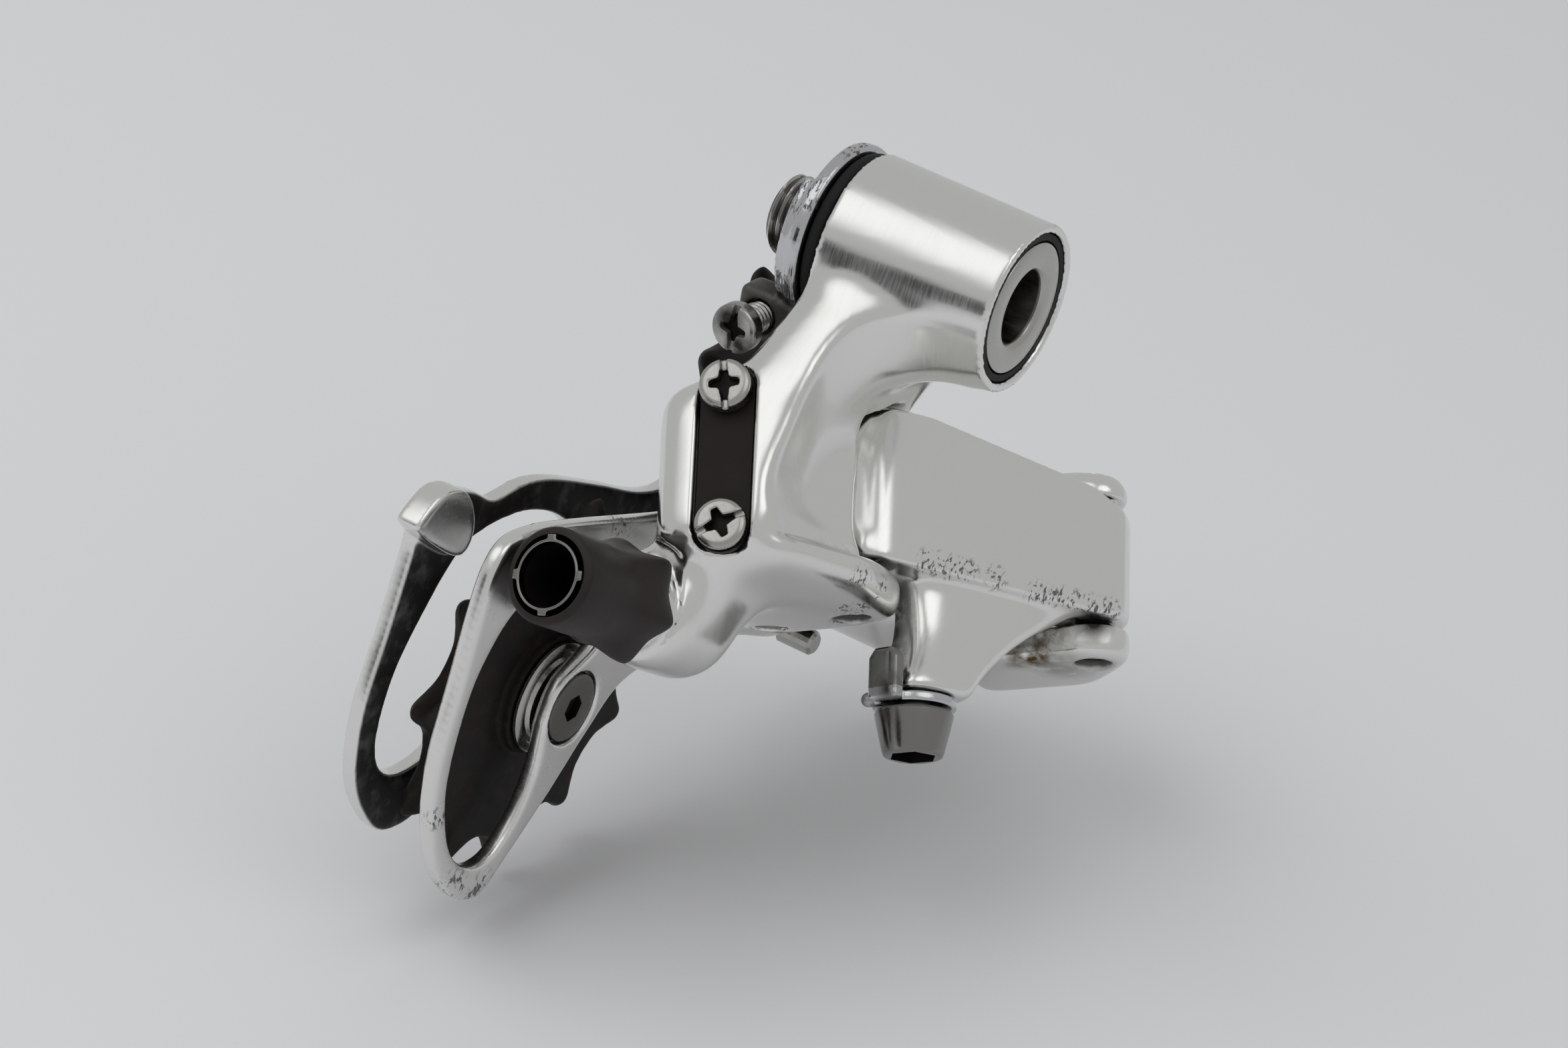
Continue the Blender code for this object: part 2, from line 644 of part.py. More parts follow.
# Rounded corners of the casting's limbs: linkage x, distance forward of the slot's face, z, radius
BLOCK_CORNERS = [
    (-12.6, 3.4, 17.0, 3.6), (-13.2, 2.4, 2.0, 2.6), (-3.4, 1.4, 2.0, 1.6), (1.4, 3.0, 20.0, 2.4),
    (-13.0, 16.4, 18.0, 2.4), (-13.0, 16.4, 1.0, 2.4), (0.8, 18.3, 22.0, 2.0), (0.8, 18.3, 1.0, 2.0)]
ARM_CORNERS = [(-6.4, 3.0, 17.5, 3.0), (3.0, 2.6, 18.0, 2.4), (-4.0, 11.9, 17.0, 4.0),
               (1.6, 14.9, 18.0, 2.0)]
WEB_CORNERS = [(-4.0, 3.2, 6.0, 2.0), (-4.0, 18.3, 6.0, 2.0), (4.0, 3.2, 4.6, 2.0),
               (4.2, 18.3, 6.4, 2.0), (8.0, 3.4, 22.0, 2.0), (9.0, 18.3, 23.0, 2.0)]
NECK_CORNERS = [(4.0, 16.9, 24.5, 2.4), (-9.0, 12.9, 20.5, 2.4)]
FOOT_CORNERS = [(-1.2, 3.6, 0.6, 1.8), (-12.0, 5.0, -1.0, 2.4), (-12.0, 15.9, 1.0, 2.4),
                (4.2, 16.4, 1.2, 1.8)]
BRACE_CORNERS = [(-9.0, 5.0, 0.0, 3.0), (-7.0, 14.9, 1.0, 3.0)]

# Where the limbs run into the barrel: distance along it, radius, and Y and Z off the bolt's axis
ARM_ROOTS = [(4.2, 4.0, -6.4, -1.0), (10.0, 5.0, -4.8, -2.0), (8.0, 6.0, 2.0, -3.0)]
WEB_ROOTS = [(BARREL_LENGTH - 6.5, 5.0, -4.6, -2.6), (BARREL_LENGTH - 6.5, 5.0, 2.6, -4.0)]
NECK_ROOTS = [(5.0, 4.0, 3.0, -4.0), (12.0, 4.0, 3.0, -4.4)]

# How far the adjuster's boss and its brace reach back, and the links' room forward
ADJUSTER_BOSS_DEPTH = 12.0
BRACE_DEPTHS = (-11.0, -5.0)
BRACE_INSET = 0.8
LINK_ROOM = (-6.0, 20.0, 22.0)
BARREL_FACE_ROOM = 1.5
HANGER_ROOM = 8.0


def corners(spots):
    """Corner balls of a limb, in the linkage frame."""
    rear = SLOT_MIDDLE[1]
    return [ball(x, rear + forward, z, radius) for x, forward, z, radius in spots]


def roots(spots):
    """Balls inside the barrel that a limb grows from, in the linkage frame."""
    return [rebase(ball(y, z, BARREL_START + along, radius), BOLT_FRAME, LINKAGE)
            for along, radius, y, z in spots]


def make_upper_casting(upper, linkage):
    """B-knuckle: barrel, arm, block with the limit screws, foot, upper ear and adjuster boss."""
    inner_x, inner_y = INNER_PIN_OFFSET
    to_linkage = LINKAGE.inverted()
    near, far = BARREL_START - BARREL_SPARE, BARREL_END + BARREL_SPARE
    near_radius = BARREL_INNER_END_RADIUS + BARREL_SWELL
    far_radius = BARREL_OUTER_END_RADIUS + BARREL_SWELL
    barrel = turned([(0, near), (near_radius, near), (near_radius, BARREL_START),
                     (far_radius, BARREL_END), (far_radius, far), (0, far)])
    boss = rod(ADJUSTER_BOSS_RADIUS, -ADJUSTER_BOSS_DEPTH, 0)
    ear_low = UPPER_EAR_BASE - CASTING_SPARE
    foot_high = FOOT_TOP + CASTING_SPARE
    brace = drum(0, 0, *BRACE_DEPTHS, ADJUSTER_BOSS_RADIUS - BRACE_INSET)
    limbs = merged(
        moved(barrel, to_linkage @ BOLT_FRAME), moved(boss, to_linkage @ ADJUSTER_FRAME),
        hull(*corners(BLOCK_CORNERS)),
        hull(*corners(ARM_CORNERS), *roots(ARM_ROOTS)),
        hull(*corners(WEB_CORNERS), *roots(WEB_ROOTS)),
        hull(drum(0, 0, ear_low, UPPER_EAR_TOP, KNUCKLE_EAR_RADIUS),
             drum(inner_x, inner_y, ear_low, UPPER_EAR_TOP, INNER_EAR_RADIUS),
             *corners(NECK_CORNERS), *roots(NECK_ROOTS)),
        hull(drum(0, 0, FOOT_BOTTOM, foot_high, KNUCKLE_EAR_RADIUS),
             drum(inner_x, inner_y, FOOT_BOTTOM, foot_high, LINK_EAR_RADIUS), *corners(FOOT_CORNERS)),
        hull(rebase(brace, ADJUSTER_FRAME, LINKAGE), *corners(BRACE_CORNERS)))
    knuckle = piece("b_knuckle", limbs, linkage, "polished_aluminium")
    scoop = loft([[(x, y, z) for x, z in section] for y, section in SCOOP_DEPTHS])
    cast(knuckle, UPPER_CASTING_SHARE, scoop)

    # Bores along the bolt, flat barrel ends, and room for the stop plate as the casting swings
    clear = 2 * BARREL_INNER_END_RADIUS
    face = BARREL_INNER_END_RADIUS + BARREL_FACE_ROOM
    running = BUSHING_RADIUS + RUN_GAP
    step = BARREL_START + B_SPRING_LENGTH + 2 * RUN_GAP
    plate_room = STOP_PLATE_THICKNESS + RUN_GAP
    head_room = HEAD_BACK - RUN_GAP
    beyond = far + BORE_OVERRUN
    bores = turned([(0, -HANGER_ROOM), (clear, -HANGER_ROOM), (clear, plate_room), (face, plate_room),
                    (face, BARREL_START), (SPRING_POCKET_RADIUS, BARREL_START),
                    (SPRING_POCKET_RADIUS, step), (running, step), (running, head_room),
                    (HEAD_BORE_RADIUS, head_room), (HEAD_BORE_RADIUS, BARREL_END),
                    (clear, BARREL_END), (clear, beyond), (0, beyond)])
    cut(knuckle, bores, upper)
    # Room for the links' upper ends, and the pins' bores
    room_x, room_y, room_radius = LINK_ROOM
    cut(knuckle, hull(drum(0, 0, FOOT_TOP, UPPER_EAR_BASE, PANEL_FACE + EAR_GAP),
                      drum(inner_x, inner_y, FOOT_TOP, UPPER_EAR_BASE, LINK_EAR_RADIUS + EAR_GAP),
                      drum(room_x, room_y, FOOT_TOP, UPPER_EAR_BASE, room_radius)))
    for place in ((0, 0), INNER_PIN_OFFSET):
        bore = rod(PIN_BORE, FOOT_BOTTOM - BORE_OVERRUN, UPPER_EAR_TOP + 3 * BORE_OVERRUN, SMALL_SIDES)
        cut(knuckle, moved(bore, Matrix.Translation((*place, 0))))
    # Slot and holes of the limit screws
    slot = pivot("limit_slot", SLOT_FRAME)
    opening = prism(stadium(SCREW_SPACING / 2, SLOT_HALF_WIDTH), -SLOT_DEPTH, 3 * BORE_OVERRUN)
    cut(knuckle, opening, slot)
    for side in (1, -1):
        hole = rod(SCREW_RADIUS + RUN_GAP, -LIMIT_SCREW_LENGTH - BORE_OVERRUN, 0, SMALL_SIDES)
        cut(knuckle, moved(hole, Matrix.Translation((side * SCREW_SPACING / 2, 0, 0))), slot)
    # Adjuster's seat and the stud's hole
    adjuster = pivot("adjuster_axis", ADJUSTER_FRAME)
    seat = ADJUSTER_BASE_RADIUS + ADJUSTER_LOBE_DEPTH + RUN_GAP
    cut(knuckle, rod(seat, 0, ADJUSTER_LENGTH), adjuster)
    cut(knuckle, rod(STUD_RADIUS + RUN_GAP, -STUD_DEPTH - RUN_GAP, 1, SMALL_SIDES), adjuster)
    return slot, adjuster


def make_limit_screws(slot):
    """Dark plate in the slot and the two limit screws through it."""
    low = RUN_GAP - SLOT_DEPTH
    high = low + LIMIT_PLATE_THICKNESS
    outline = stadium(SCREW_SPACING / 2, SLOT_HALF_WIDTH - RUN_GAP)
    plate = piece("limit_screw_plate", prism(outline, low, high), slot, "black_plate")
    head = high + RUN_GAP
    for name, side, proud in (("high_limit_screw", 1, UPPER_SCREW_PROUD), ("low_limit_screw", -1, 0.0)):
        place = SLOT_FRAME @ Matrix.Translation((side * SCREW_SPACING / 2, 0, 0))
        axis = pivot(f"{name}_axis", place)
        hole = rod(SCREW_RADIUS + RUN_GAP, low - BORE_OVERRUN, high + BORE_OVERRUN, SMALL_SIDES)
        cut(plate, hole, axis)
        head_top = head + SCREW_HEAD_HEIGHT - LIMIT_HEAD_SUNK + proud
        screw(name, axis, head, head_top, -LIMIT_SCREW_LENGTH, "bright_steel")


def make_adjuster(adjuster):
    """Plastic barrel with lobes at its base, metal sleeve in its mouth, stud and spring."""
    lobe = ADJUSTER_LOBE_DEPTH
    stud_bore = STUD_RADIUS + RUN_GAP
    profile = [(ADJUSTER_BORE, RUN_GAP), (ADJUSTER_BASE_RADIUS - CHAMFER, RUN_GAP, lobe),
               (ADJUSTER_BASE_RADIUS, ADJUSTER_SKIRT, lobe),
               (ADJUSTER_WAIST_RADIUS, ADJUSTER_WAIST, lobe / 2),
               (ADJUSTER_MOUTH_RADIUS, ADJUSTER_NECK),
               (ADJUSTER_MOUTH_RADIUS, ADJUSTER_LENGTH - CHAMFER),
               (ADJUSTER_MOUTH_RADIUS - CHAMFER, ADJUSTER_LENGTH), (ADJUSTER_BORE, ADJUSTER_LENGTH),
               (ADJUSTER_BORE, ADJUSTER_WEB_END), (stud_bore, ADJUSTER_WEB_END),
               (stud_bore, ADJUSTER_WEB_START), (ADJUSTER_BORE, ADJUSTER_WEB_START)]
    piece("adjuster_barrel", turned(profile, 30, ADJUSTER_LOBES), adjuster, "grey_brown_plastic")
    outer = ADJUSTER_BORE - SEAL_GAP
    mouth = ADJUSTER_LENGTH + SLEEVE_PROUD
    ring = tube(outer - SLEEVE_WALL, outer, ADJUSTER_WEB_END + RUN_GAP, mouth, 24)
    sleeve = piece("adjuster_sleeve", ring, adjuster, "chromed_steel")
    for turn in (0, 90):
        notch = box((-outer - BORE_OVERRUN, -SLEEVE_NOTCH_HALF, mouth - SLEEVE_NOTCH_DEPTH),
                    (outer + BORE_OVERRUN, SLEEVE_NOTCH_HALF, mouth + BORE_OVERRUN))
        cut(sleeve, moved(notch, Matrix.Rotation(math.radians(turn + SLEEVE_NOTCH_TURN), 4, "Z")))
    stud = tube(STUD_BORE, STUD_RADIUS, -STUD_DEPTH, ADJUSTER_WEB_END, SMALL_SIDES)
    piece("adjuster_stud", stud, adjuster, "bright_steel")
    coil("adjuster_spring", adjuster, (STUD_RADIUS + ADJUSTER_BORE) / 2, ADJUSTER_SPRING_WIRE,
         RUN_GAP, ADJUSTER_WEB_START - 2 * RUN_GAP, ADJUSTER_SPRING_TURNS)


# Boss of the cable clamp in the link's frame: height, near end at its front and back, far end,
# front and back. Its near side slants to clear the upper casting's foot as the link swings
BOSS_SECTIONS = (
    (5.4, 5.4, 8.2, 31.6, -5.5, 3.0), (3.8, 5.4, 8.2, 29.6, -5.5, 3.0), (1.7, 5.6, 8.2, 26.8, -5.4, 2.8),
    (-0.9, 6.2, 8.2, 23.6, -5.3, 2.6), (-2.4, 6.6, 8.0, 21.4, -5.2, 2.6), (-4.9, 6.2, 7.4, 18.6, -5.3, 2.8),
    (-7.0, 5.6, 6.2, 16.6, -5.5, 3.2), (CLAMP_FACE, 4.4, 4.4, 14.6, -5.8, 3.8))


def boss_outline(height, near_front, near_back, far, front, back):
    """One section of the boss: a box outline with well rounded corners."""
    squareness = 2 / 3
    points = []
    for i in range(ROUND_SIDES):
        angle = math.tau * i / ROUND_SIDES
        u, v = (math.copysign(abs(w) ** squareness, w) for w in (math.cos(angle), math.sin(angle)))
        near = near_front + (near_back - near_front) * (1 + v) / 2
        points.append((near + (far - near) * (1 + u) / 2, front + (back - front) * (1 + v) / 2, height))
    return points


def make_outer_link(outer_link):
    """Panel with its flanges and pin ears, and the boss for the cable clamp."""
    edge = PANEL_EDGE_RADIUS
    roll = PANEL_ROLL_RADIUS
    front = edge - PANEL_FACE
    back = PANEL_THICKNESS - PANEL_FACE - edge
    near_end = edge - PANEL_OVERHANG
    far_end = LINK_LENGTH + PANEL_END
    low_near = LINK_BASE + edge
    low_far = low_near - LOWER_FOOT_DROP
    top_near = LINK_TOP_UPPER - edge
    top_far = LINK_TOP_LOWER - edge
    break_s, break_z = PANEL_TOP_BREAK
    top_line = [(PANEL_SHOULDER, top_near), (break_s, break_z - edge),
                (far_end - PANEL_END_CHAMFER, top_far)]
    low_line = [(near_end, low_near), (far_end - PANEL_END_CHAMFER, low_far)]
    panel = hull(drum(roll - PANEL_OVERHANG, roll - PANEL_FACE, LINK_BASE, LINK_TOP_UPPER, roll),
                 *(ball(s, y, z, edge) for y in (front, back) for s, z in top_line + low_line[1:]),
                 ball(far_end, back, low_far, edge), ball(far_end, back, top_far, edge))
    near_ear = hull(drum(0, 0, LINK_BASE, LINK_TOP_UPPER, LINK_EAR_RADIUS),
                    *(ball(EAR_WEB, back, z, edge) for z in (low_near, top_near)))
    far_ear = hull(drum(LINK_LENGTH, 0, LINK_BASE - LOWER_FOOT_DROP, LINK_TOP_LOWER, LINK_EAR_RADIUS),
                   *(ball(s, back, z, edge) for s in (LINK_LENGTH - EAR_WEB, far_end)
                     for z in (low_far, top_far)))
    flange_line = [(near_end, top_near), top_line[0], top_line[-1]]
    flanges = [hull(*(ball(s, y, z + rise, edge) for y in (back, FLANGE_DEPTH)
                      for s, z in line for rise in (0, height)))
               for line, height in ((flange_line, -FLANGE_HEIGHT), (low_line, FLANGE_HEIGHT))]
    boss = loft([boss_outline(*section) for section in BOSS_SECTIONS])
    limbs = merged(panel, near_ear, far_ear, *flanges, boss)
    link = piece("outer_link", limbs, outer_link, "polished_aluminium")
    cast(link, OUTER_LINK_SHARE)
    for s in (0, LINK_LENGTH):
        bore = rod(PIN_BORE, FOOT_BOTTOM - BORE_OVERRUN, UPPER_EAR_TOP, SMALL_SIDES)
        cut(link, moved(bore, Matrix.Translation((s, 0, 0))))
    place = Matrix.Translation((*CLAMP_PLACE, 0))
    hole = rod(CLAMP_BOLT_RADIUS + RUN_GAP, CLAMP_FACE - BORE_OVERRUN, CLAMP_FACE + CLAMP_BOLT_LENGTH,
               SMALL_SIDES)
    cut(link, moved(hole, place))
    clear = 3 * CLAMP_WASHER_RADIUS
    cut(link, moved(rod(clear, CLAMP_FACE - 2 * BORE_OVERRUN, CLAMP_FACE), place))


def make_cable_clamp(outer_link):
    """Washer with an upright tab, and the tapered socket bolt below it."""
    place = Matrix.Translation((*CLAMP_PLACE, 0))
    top = CLAMP_FACE - RUN_GAP
    low = top - CLAMP_WASHER_THICKNESS
    ring = tube(CLAMP_BOLT_RADIUS + RUN_GAP, CLAMP_WASHER_RADIUS, low, top)
    washer = piece("cable_clamp_washer", moved(ring, place), outer_link, "chromed_steel")
    near = CLAMP_WASHER_RADIUS + CHAMFER
    reach = CLAMP_WASHER_RADIUS + CLAMP_TAB_THICKNESS
    half = CLAMP_TAB_WIDTH / 2
    tab = hull(*(ball(-x, y, z, CHAMFER) for x in (near, reach) for y in (-half, half)
                 for z in (low + CHAMFER, top + CLAMP_TAB_HEIGHT)))
    foot = box((-reach, -half, low), (CHAMFER - CLAMP_WASHER_RADIUS, half, top))
    turn = place @ Matrix.Rotation(math.radians(CLAMP_TAB_TURN), 4, "Z")
    join(washer, moved(tab, turn))
    join(washer, moved(foot, turn))
    head_top = low - RUN_GAP
    end = head_top - CLAMP_HEAD_HEIGHT
    tip = CLAMP_FACE + CLAMP_BOLT_LENGTH - 2 * RUN_GAP
    profile = [(0, end), (CLAMP_HEAD_END_RADIUS - CHAMFER, end), (CLAMP_HEAD_END_RADIUS, end + CHAMFER),
               (CLAMP_HEAD_TOP_RADIUS, head_top - CHAMFER), (CLAMP_HEAD_TOP_RADIUS - CHAMFER, head_top),
               (CLAMP_BOLT_RADIUS, head_top), (CLAMP_BOLT_RADIUS, tip), (0, tip)]
    bolt = piece("cable_clamp_bolt", moved(turned(profile, 24), place), outer_link, "bright_steel")
    socket = prism(hexagon(CLAMP_HEX_FLATS), end - BORE_OVERRUN, end + CLAMP_HEX_DEPTH)
    cut(bolt, moved(socket, place))


def make_inner_link(inner_link):
    """Hidden bar between the inner pins, with room for the return spring on its upper pin."""
    reach = LINK_EAR_RADIUS - EAR_GAP
    half = INNER_LINK_HALF
    near = hull(drum(0, 0, LINK_BASE, LINK_TOP_UPPER, reach, SMALL_SIDES),
                drum(INNER_LINK_WEB, 0, LINK_BASE + RUN_GAP, LINK_TOP_UPPER - 3 * RUN_GAP, half, 6))
    far = hull(drum(LINK_LENGTH, 0, LINK_BASE - SEAL_GAP, LINK_TOP_LOWER - SEAL_GAP, reach, SMALL_SIDES),
               drum(INNER_LINK_WEB - half, 0, LINK_BASE + EAR_GAP, LINK_TOP_LOWER - EAR_GAP,
                    half - RUN_GAP, 6))
    link = piece("inner_link", near, inner_link, "polished_aluminium")
    join(link, far)
    spring_low = (LINK_BASE + LINK_TOP_UPPER - RETURN_SPRING_LENGTH) / 2
    room = RETURN_SPRING_RADIUS + RETURN_SPRING_WIRE + 2 * RUN_GAP
    cut(link, rod(room, spring_low - RUN_GAP, spring_low + RETURN_SPRING_LENGTH + RUN_GAP, SMALL_SIDES))
    for s in (0, LINK_LENGTH):
        bore = rod(PIN_BORE, FOOT_BOTTOM, UPPER_EAR_TOP, SMALL_SIDES)
        cut(link, moved(bore, Matrix.Translation((s, 0, 0))))
    inner_axis = pivot("inner_upper_axis", LINKAGE @ Matrix.Translation((*INNER_PIN_OFFSET, 0)))
    coil("return_spring", inner_axis, RETURN_SPRING_RADIUS, RETURN_SPRING_WIRE, spring_low,
         RETURN_SPRING_LENGTH, RETURN_SPRING_TURNS)


def make_pins(linkage, lower):
    """Four pins, two in each casting."""
    for name, carrier, place, low, high in (
            ("outer_upper_pin", linkage, (0, 0), FOOT_BOTTOM, UPPER_EAR_TOP),
            ("inner_upper_pin", linkage, INNER_PIN_OFFSET, FOOT_BOTTOM, UPPER_EAR_TOP),
            ("outer_lower_pin", lower, (0, 0), LOWER_FOOT_BOTTOM, LOWER_EAR_TOP),
            ("inner_lower_pin", lower, INNER_PIN_OFFSET, LOWER_FOOT_BOTTOM, LOWER_EAR_TOP)):
        low += PIN_SUNK
        high -= PIN_SUNK
        profile = [(0, low), (PIN_RADIUS - CHAMFER, low), (PIN_RADIUS, low + CHAMFER),
                   (PIN_RADIUS, high - CHAMFER), (PIN_RADIUS - CHAMFER, high), (0, high)]
        pin = moved(turned(profile, SMALL_SIDES), Matrix.Translation((*place, 0)))
        piece(name, pin, carrier, "bright_steel")


def make_lower_casting(lower, cage):
    """P-knuckle: two ears round the links' lower ends, a spine behind them and the axle's housing."""
    inner_x, inner_y = INNER_PIN_OFFSET
    ear = LOWER_EAR_RADIUS
    to_lower = LOWER_FRAME.inverted() @ CAGE_FRAME
    spine_low = LOWER_FOOT_BOTTOM + SPINE_RADIUS
    spine_high = LOWER_EAR_TOP - SPINE_RADIUS

    def spine_ends(*heights):
        return [ball(x, y, z, SPINE_RADIUS) for x, y in SPINE_PLACES for z in heights]

    housing = moved(rod(HOUSING_RADIUS, HOUSING_INNER_END, HOUSING_OUTER_END), to_lower)
    foot_high = LOWER_FOOT_TOP + CASTING_SPARE
    low_ear = hull(drum(0, 0, LOWER_FOOT_BOTTOM, foot_high, ear),
                   drum(inner_x, inner_y, LOWER_FOOT_BOTTOM, foot_high, ear), *spine_ends(spine_low))
    ear_low = LOWER_EAR_BASE - CASTING_SPARE
    top_ear = hull(drum(0, 0, ear_low, LOWER_EAR_TOP - DOME_HEIGHT, ear - DOME_SLOPE),
                   drum(*DOME_PLACE, LOWER_EAR_TOP - DOME_HEIGHT, LOWER_EAR_TOP, DOME_RADIUS),
                   drum(inner_x, inner_y, ear_low, LOWER_EAR_TOP, ear), *spine_ends(spine_high))
    spine = hull(*spine_ends(spine_low, spine_high))
    bridge_root = drum(0, 0, BRIDGE_INSET, HOUSING_OUTER_END, HOUSING_RADIUS - BRIDGE_INSET)
    bridge = hull(*(ball(*BRIDGE_PLACE, z, BRIDGE_RADIUS) for z in (LOWER_FOOT_TOP, LOWER_EAR_BASE)),
                  rebase(bridge_root, CAGE_FRAME, LOWER_FRAME))
    limbs = merged(housing, low_ear, top_ear, spine, bridge)
    casting = piece("p_knuckle", limbs, lower, "polished_aluminium")
    cast(casting, LOWER_CASTING_SHARE)

    pocket_end = HOUSING_OUTER_END - HOUSING_END_WALL
    axle_end = HOUSING_OUTER_END - HOUSING_END_WALL / 3
    cut(casting, rod(HOUSING_RADIUS - HOUSING_WALL, HOUSING_INNER_END - BORE_OVERRUN, pocket_end), cage)
    cut(casting, rod(CAGE_AXLE_RADIUS + RUN_GAP, 0, axle_end, SMALL_SIDES), cage)
    cut(casting, rod(2 * HOUSING_RADIUS, HOUSING_INNER_END - 4 * BORE_OVERRUN, HOUSING_INNER_END), cage)
    # Room for the links' lower ends: round the pins and towards the upper pins
    for place, reach, spare in (((0, 0), PANEL_FACE + EAR_GAP, 0),
                                (INNER_PIN_OFFSET, LINK_EAR_RADIUS + EAR_GAP, SEAL_GAP)):
        back = Vector((*place, 0)) - LINK_STEP
        cut(casting, hull(*(drum(x, y, LOWER_FOOT_TOP + spare, LOWER_EAR_BASE - spare, reach)
                            for x, y in (place, (back.x, back.y)))))
        bore = rod(PIN_BORE, LOWER_FOOT_BOTTOM - BORE_OVERRUN, LOWER_EAR_TOP + 2 * BORE_OVERRUN,
                   SMALL_SIDES)
        cut(casting, moved(bore, Matrix.Translation((*place, 0))))


def make_cage_axle(cage, lower_cage):
    """Axle fixed in the outer plate, its spring and seal, and the stop pin."""
    flange_top = OUTER_PLATE_BACK - RUN_GAP
    flange_low = flange_top - CAGE_AXLE_FLANGE_HEIGHT
    tip = HOUSING_OUTER_END - HOUSING_END_WALL / 3 - RUN_GAP
    profile = [(0, flange_low), (CAGE_AXLE_FLANGE_RADIUS - CHAMFER, flange_low),
               (CAGE_AXLE_FLANGE_RADIUS, flange_low + CHAMFER), (CAGE_AXLE_FLANGE_RADIUS, flange_top),
               (CAGE_AXLE_RADIUS, flange_top), (CAGE_AXLE_RADIUS, tip - CHAMFER),
               (CAGE_AXLE_RADIUS - CHAMFER, tip), (0, tip)]
    piece("cage_axle", turned(profile, 24), cage, "bright_steel")
    spring_start = HOUSING_INNER_END + RUN_GAP
    spring_end = HOUSING_OUTER_END - HOUSING_END_WALL - RUN_GAP
    coil("cage_spring", lower_cage, CAGE_AXLE_RADIUS + COIL_GAP + CAGE_SPRING_WIRE, CAGE_SPRING_WIRE,
         spring_start, spring_end - spring_start, CAGE_SPRING_TURNS)
    seal = tube(CAGE_AXLE_RADIUS + 2 * RUN_GAP, CAGE_SEAL_RADIUS, OUTER_PLATE_FACE + SEAL_GAP,
                HOUSING_INNER_END - SEAL_GAP, 20)
    piece("cage_seal", seal, cage, "black_rubber")
    angle = math.radians(STOP_PIN_ANGLE)
    place = Matrix.Translation((STOP_PIN_REACH * math.cos(angle), STOP_PIN_REACH * math.sin(angle), 0))
    low = OUTER_PLATE_BACK + RUN_GAP
    high = OUTER_PLATE_FACE + STOP_PIN_LENGTH
    pin = [(0, low), (STOP_PIN_RADIUS, low), (STOP_PIN_RADIUS, high - CHAMFER),
           (STOP_PIN_RADIUS - CHAMFER, high), (0, high)]
    piece("cage_stop_pin", moved(turned(pin, SMALL_SIDES), place), cage, "bright_steel")
    return place, low


# Cage plate outlines as world Y and Z, counterclockwise seen from outboard
OUTER_PLATE_OUTLINE = [
    (15.0, -26.0), (8.6, -28.4), (2.0, -34.6), (-8.0, -36.0), (-18.8, -33.2), (-37.6, -27.2),
    (-46.2, -24.8), (-51.5, -24.4), (-54.4, -26.7), (-56.2, -31.5), (-58.2, -40.0), (-60.4, -49.0),
    (-60.4, -57.0), (-58.2, -65.0), (-53.5, -71.2), (-48.4, -73.2), (-43.4, -69.8), (-36.8, -64.6),
    (-29.8, -58.4), (-23.6, -54.4), (-12.0, -54.6), (2.0, -58.6), (14.0, -63.4), (25.0, -63.4),
    (31.5, -56.0), (30.0, -46.0), (23.0, -38.0), (20.4, -29.6)]
OUTER_PLATE_OPENING = [
    (-48.0, -34.0), (-54.0, -39.4), (-56.9, -46.8), (-57.8, -55.0), (-55.8, -63.0), (-51.8, -67.6),
    (-47.2, -68.2), (-42.8, -64.6), (-40.2, -59.0), (-39.6, -53.0), (-37.2, -48.6), (-30.5, -45.6),
    (-30.0, -39.6), (-38.5, -34.6)]
INNER_PLATE_OUTLINE = [
    (15.0, -25.0), (8.8, -27.6), (5.0, -36.0), (-1.0, -39.8), (-7.9, -38.6), (-17.0, -34.4),
    (-27.7, -29.7), (-34.0, -28.1), (-39.6, -28.2), (-44.0, -25.6), (-49.4, -23.7), (-53.4, -25.6),
    (-54.6, -30.0), (-57.3, -38.9), (-60.2, -47.8), (-60.5, -56.1), (-58.1, -62.4), (-53.6, -67.2),
    (-46.5, -67.4), (-39.0, -63.2), (-31.0, -60.0), (-24.0, -54.0), (-10.0, -48.6), (6.0, -42.2),
    (17.6, -37.4), (20.4, -30.6)]
INNER_PLATE_OPENING = [
    (-41.0, -31.6), (-45.6, -33.0), (-50.2, -37.8), (-55.0, -44.8), (-57.0, -52.4), (-55.6, -57.6),
    (-51.0, -60.0), (-44.0, -58.6), (-40.4, -51.0), (-36.0, -47.0), (-26.0, -44.4), (-21.4, -40.6),
    (-25.6, -35.6), (-33.0, -32.2)]
CHAIN_PAD_OUTLINE = [
    (-53.6, -30.2), (-53.9, -26.6), (-51.6, -24.0), (-48.2, -24.0), (-44.8, -26.0), (-43.9, -29.6),
    (-46.4, -32.6), (-50.4, -32.4)]


def in_cage(points):
    """World Y and Z as the cage frame's x and y."""
    return [(y - CAGE_AXLE[0], z - CAGE_AXLE[1]) for y, z in points]


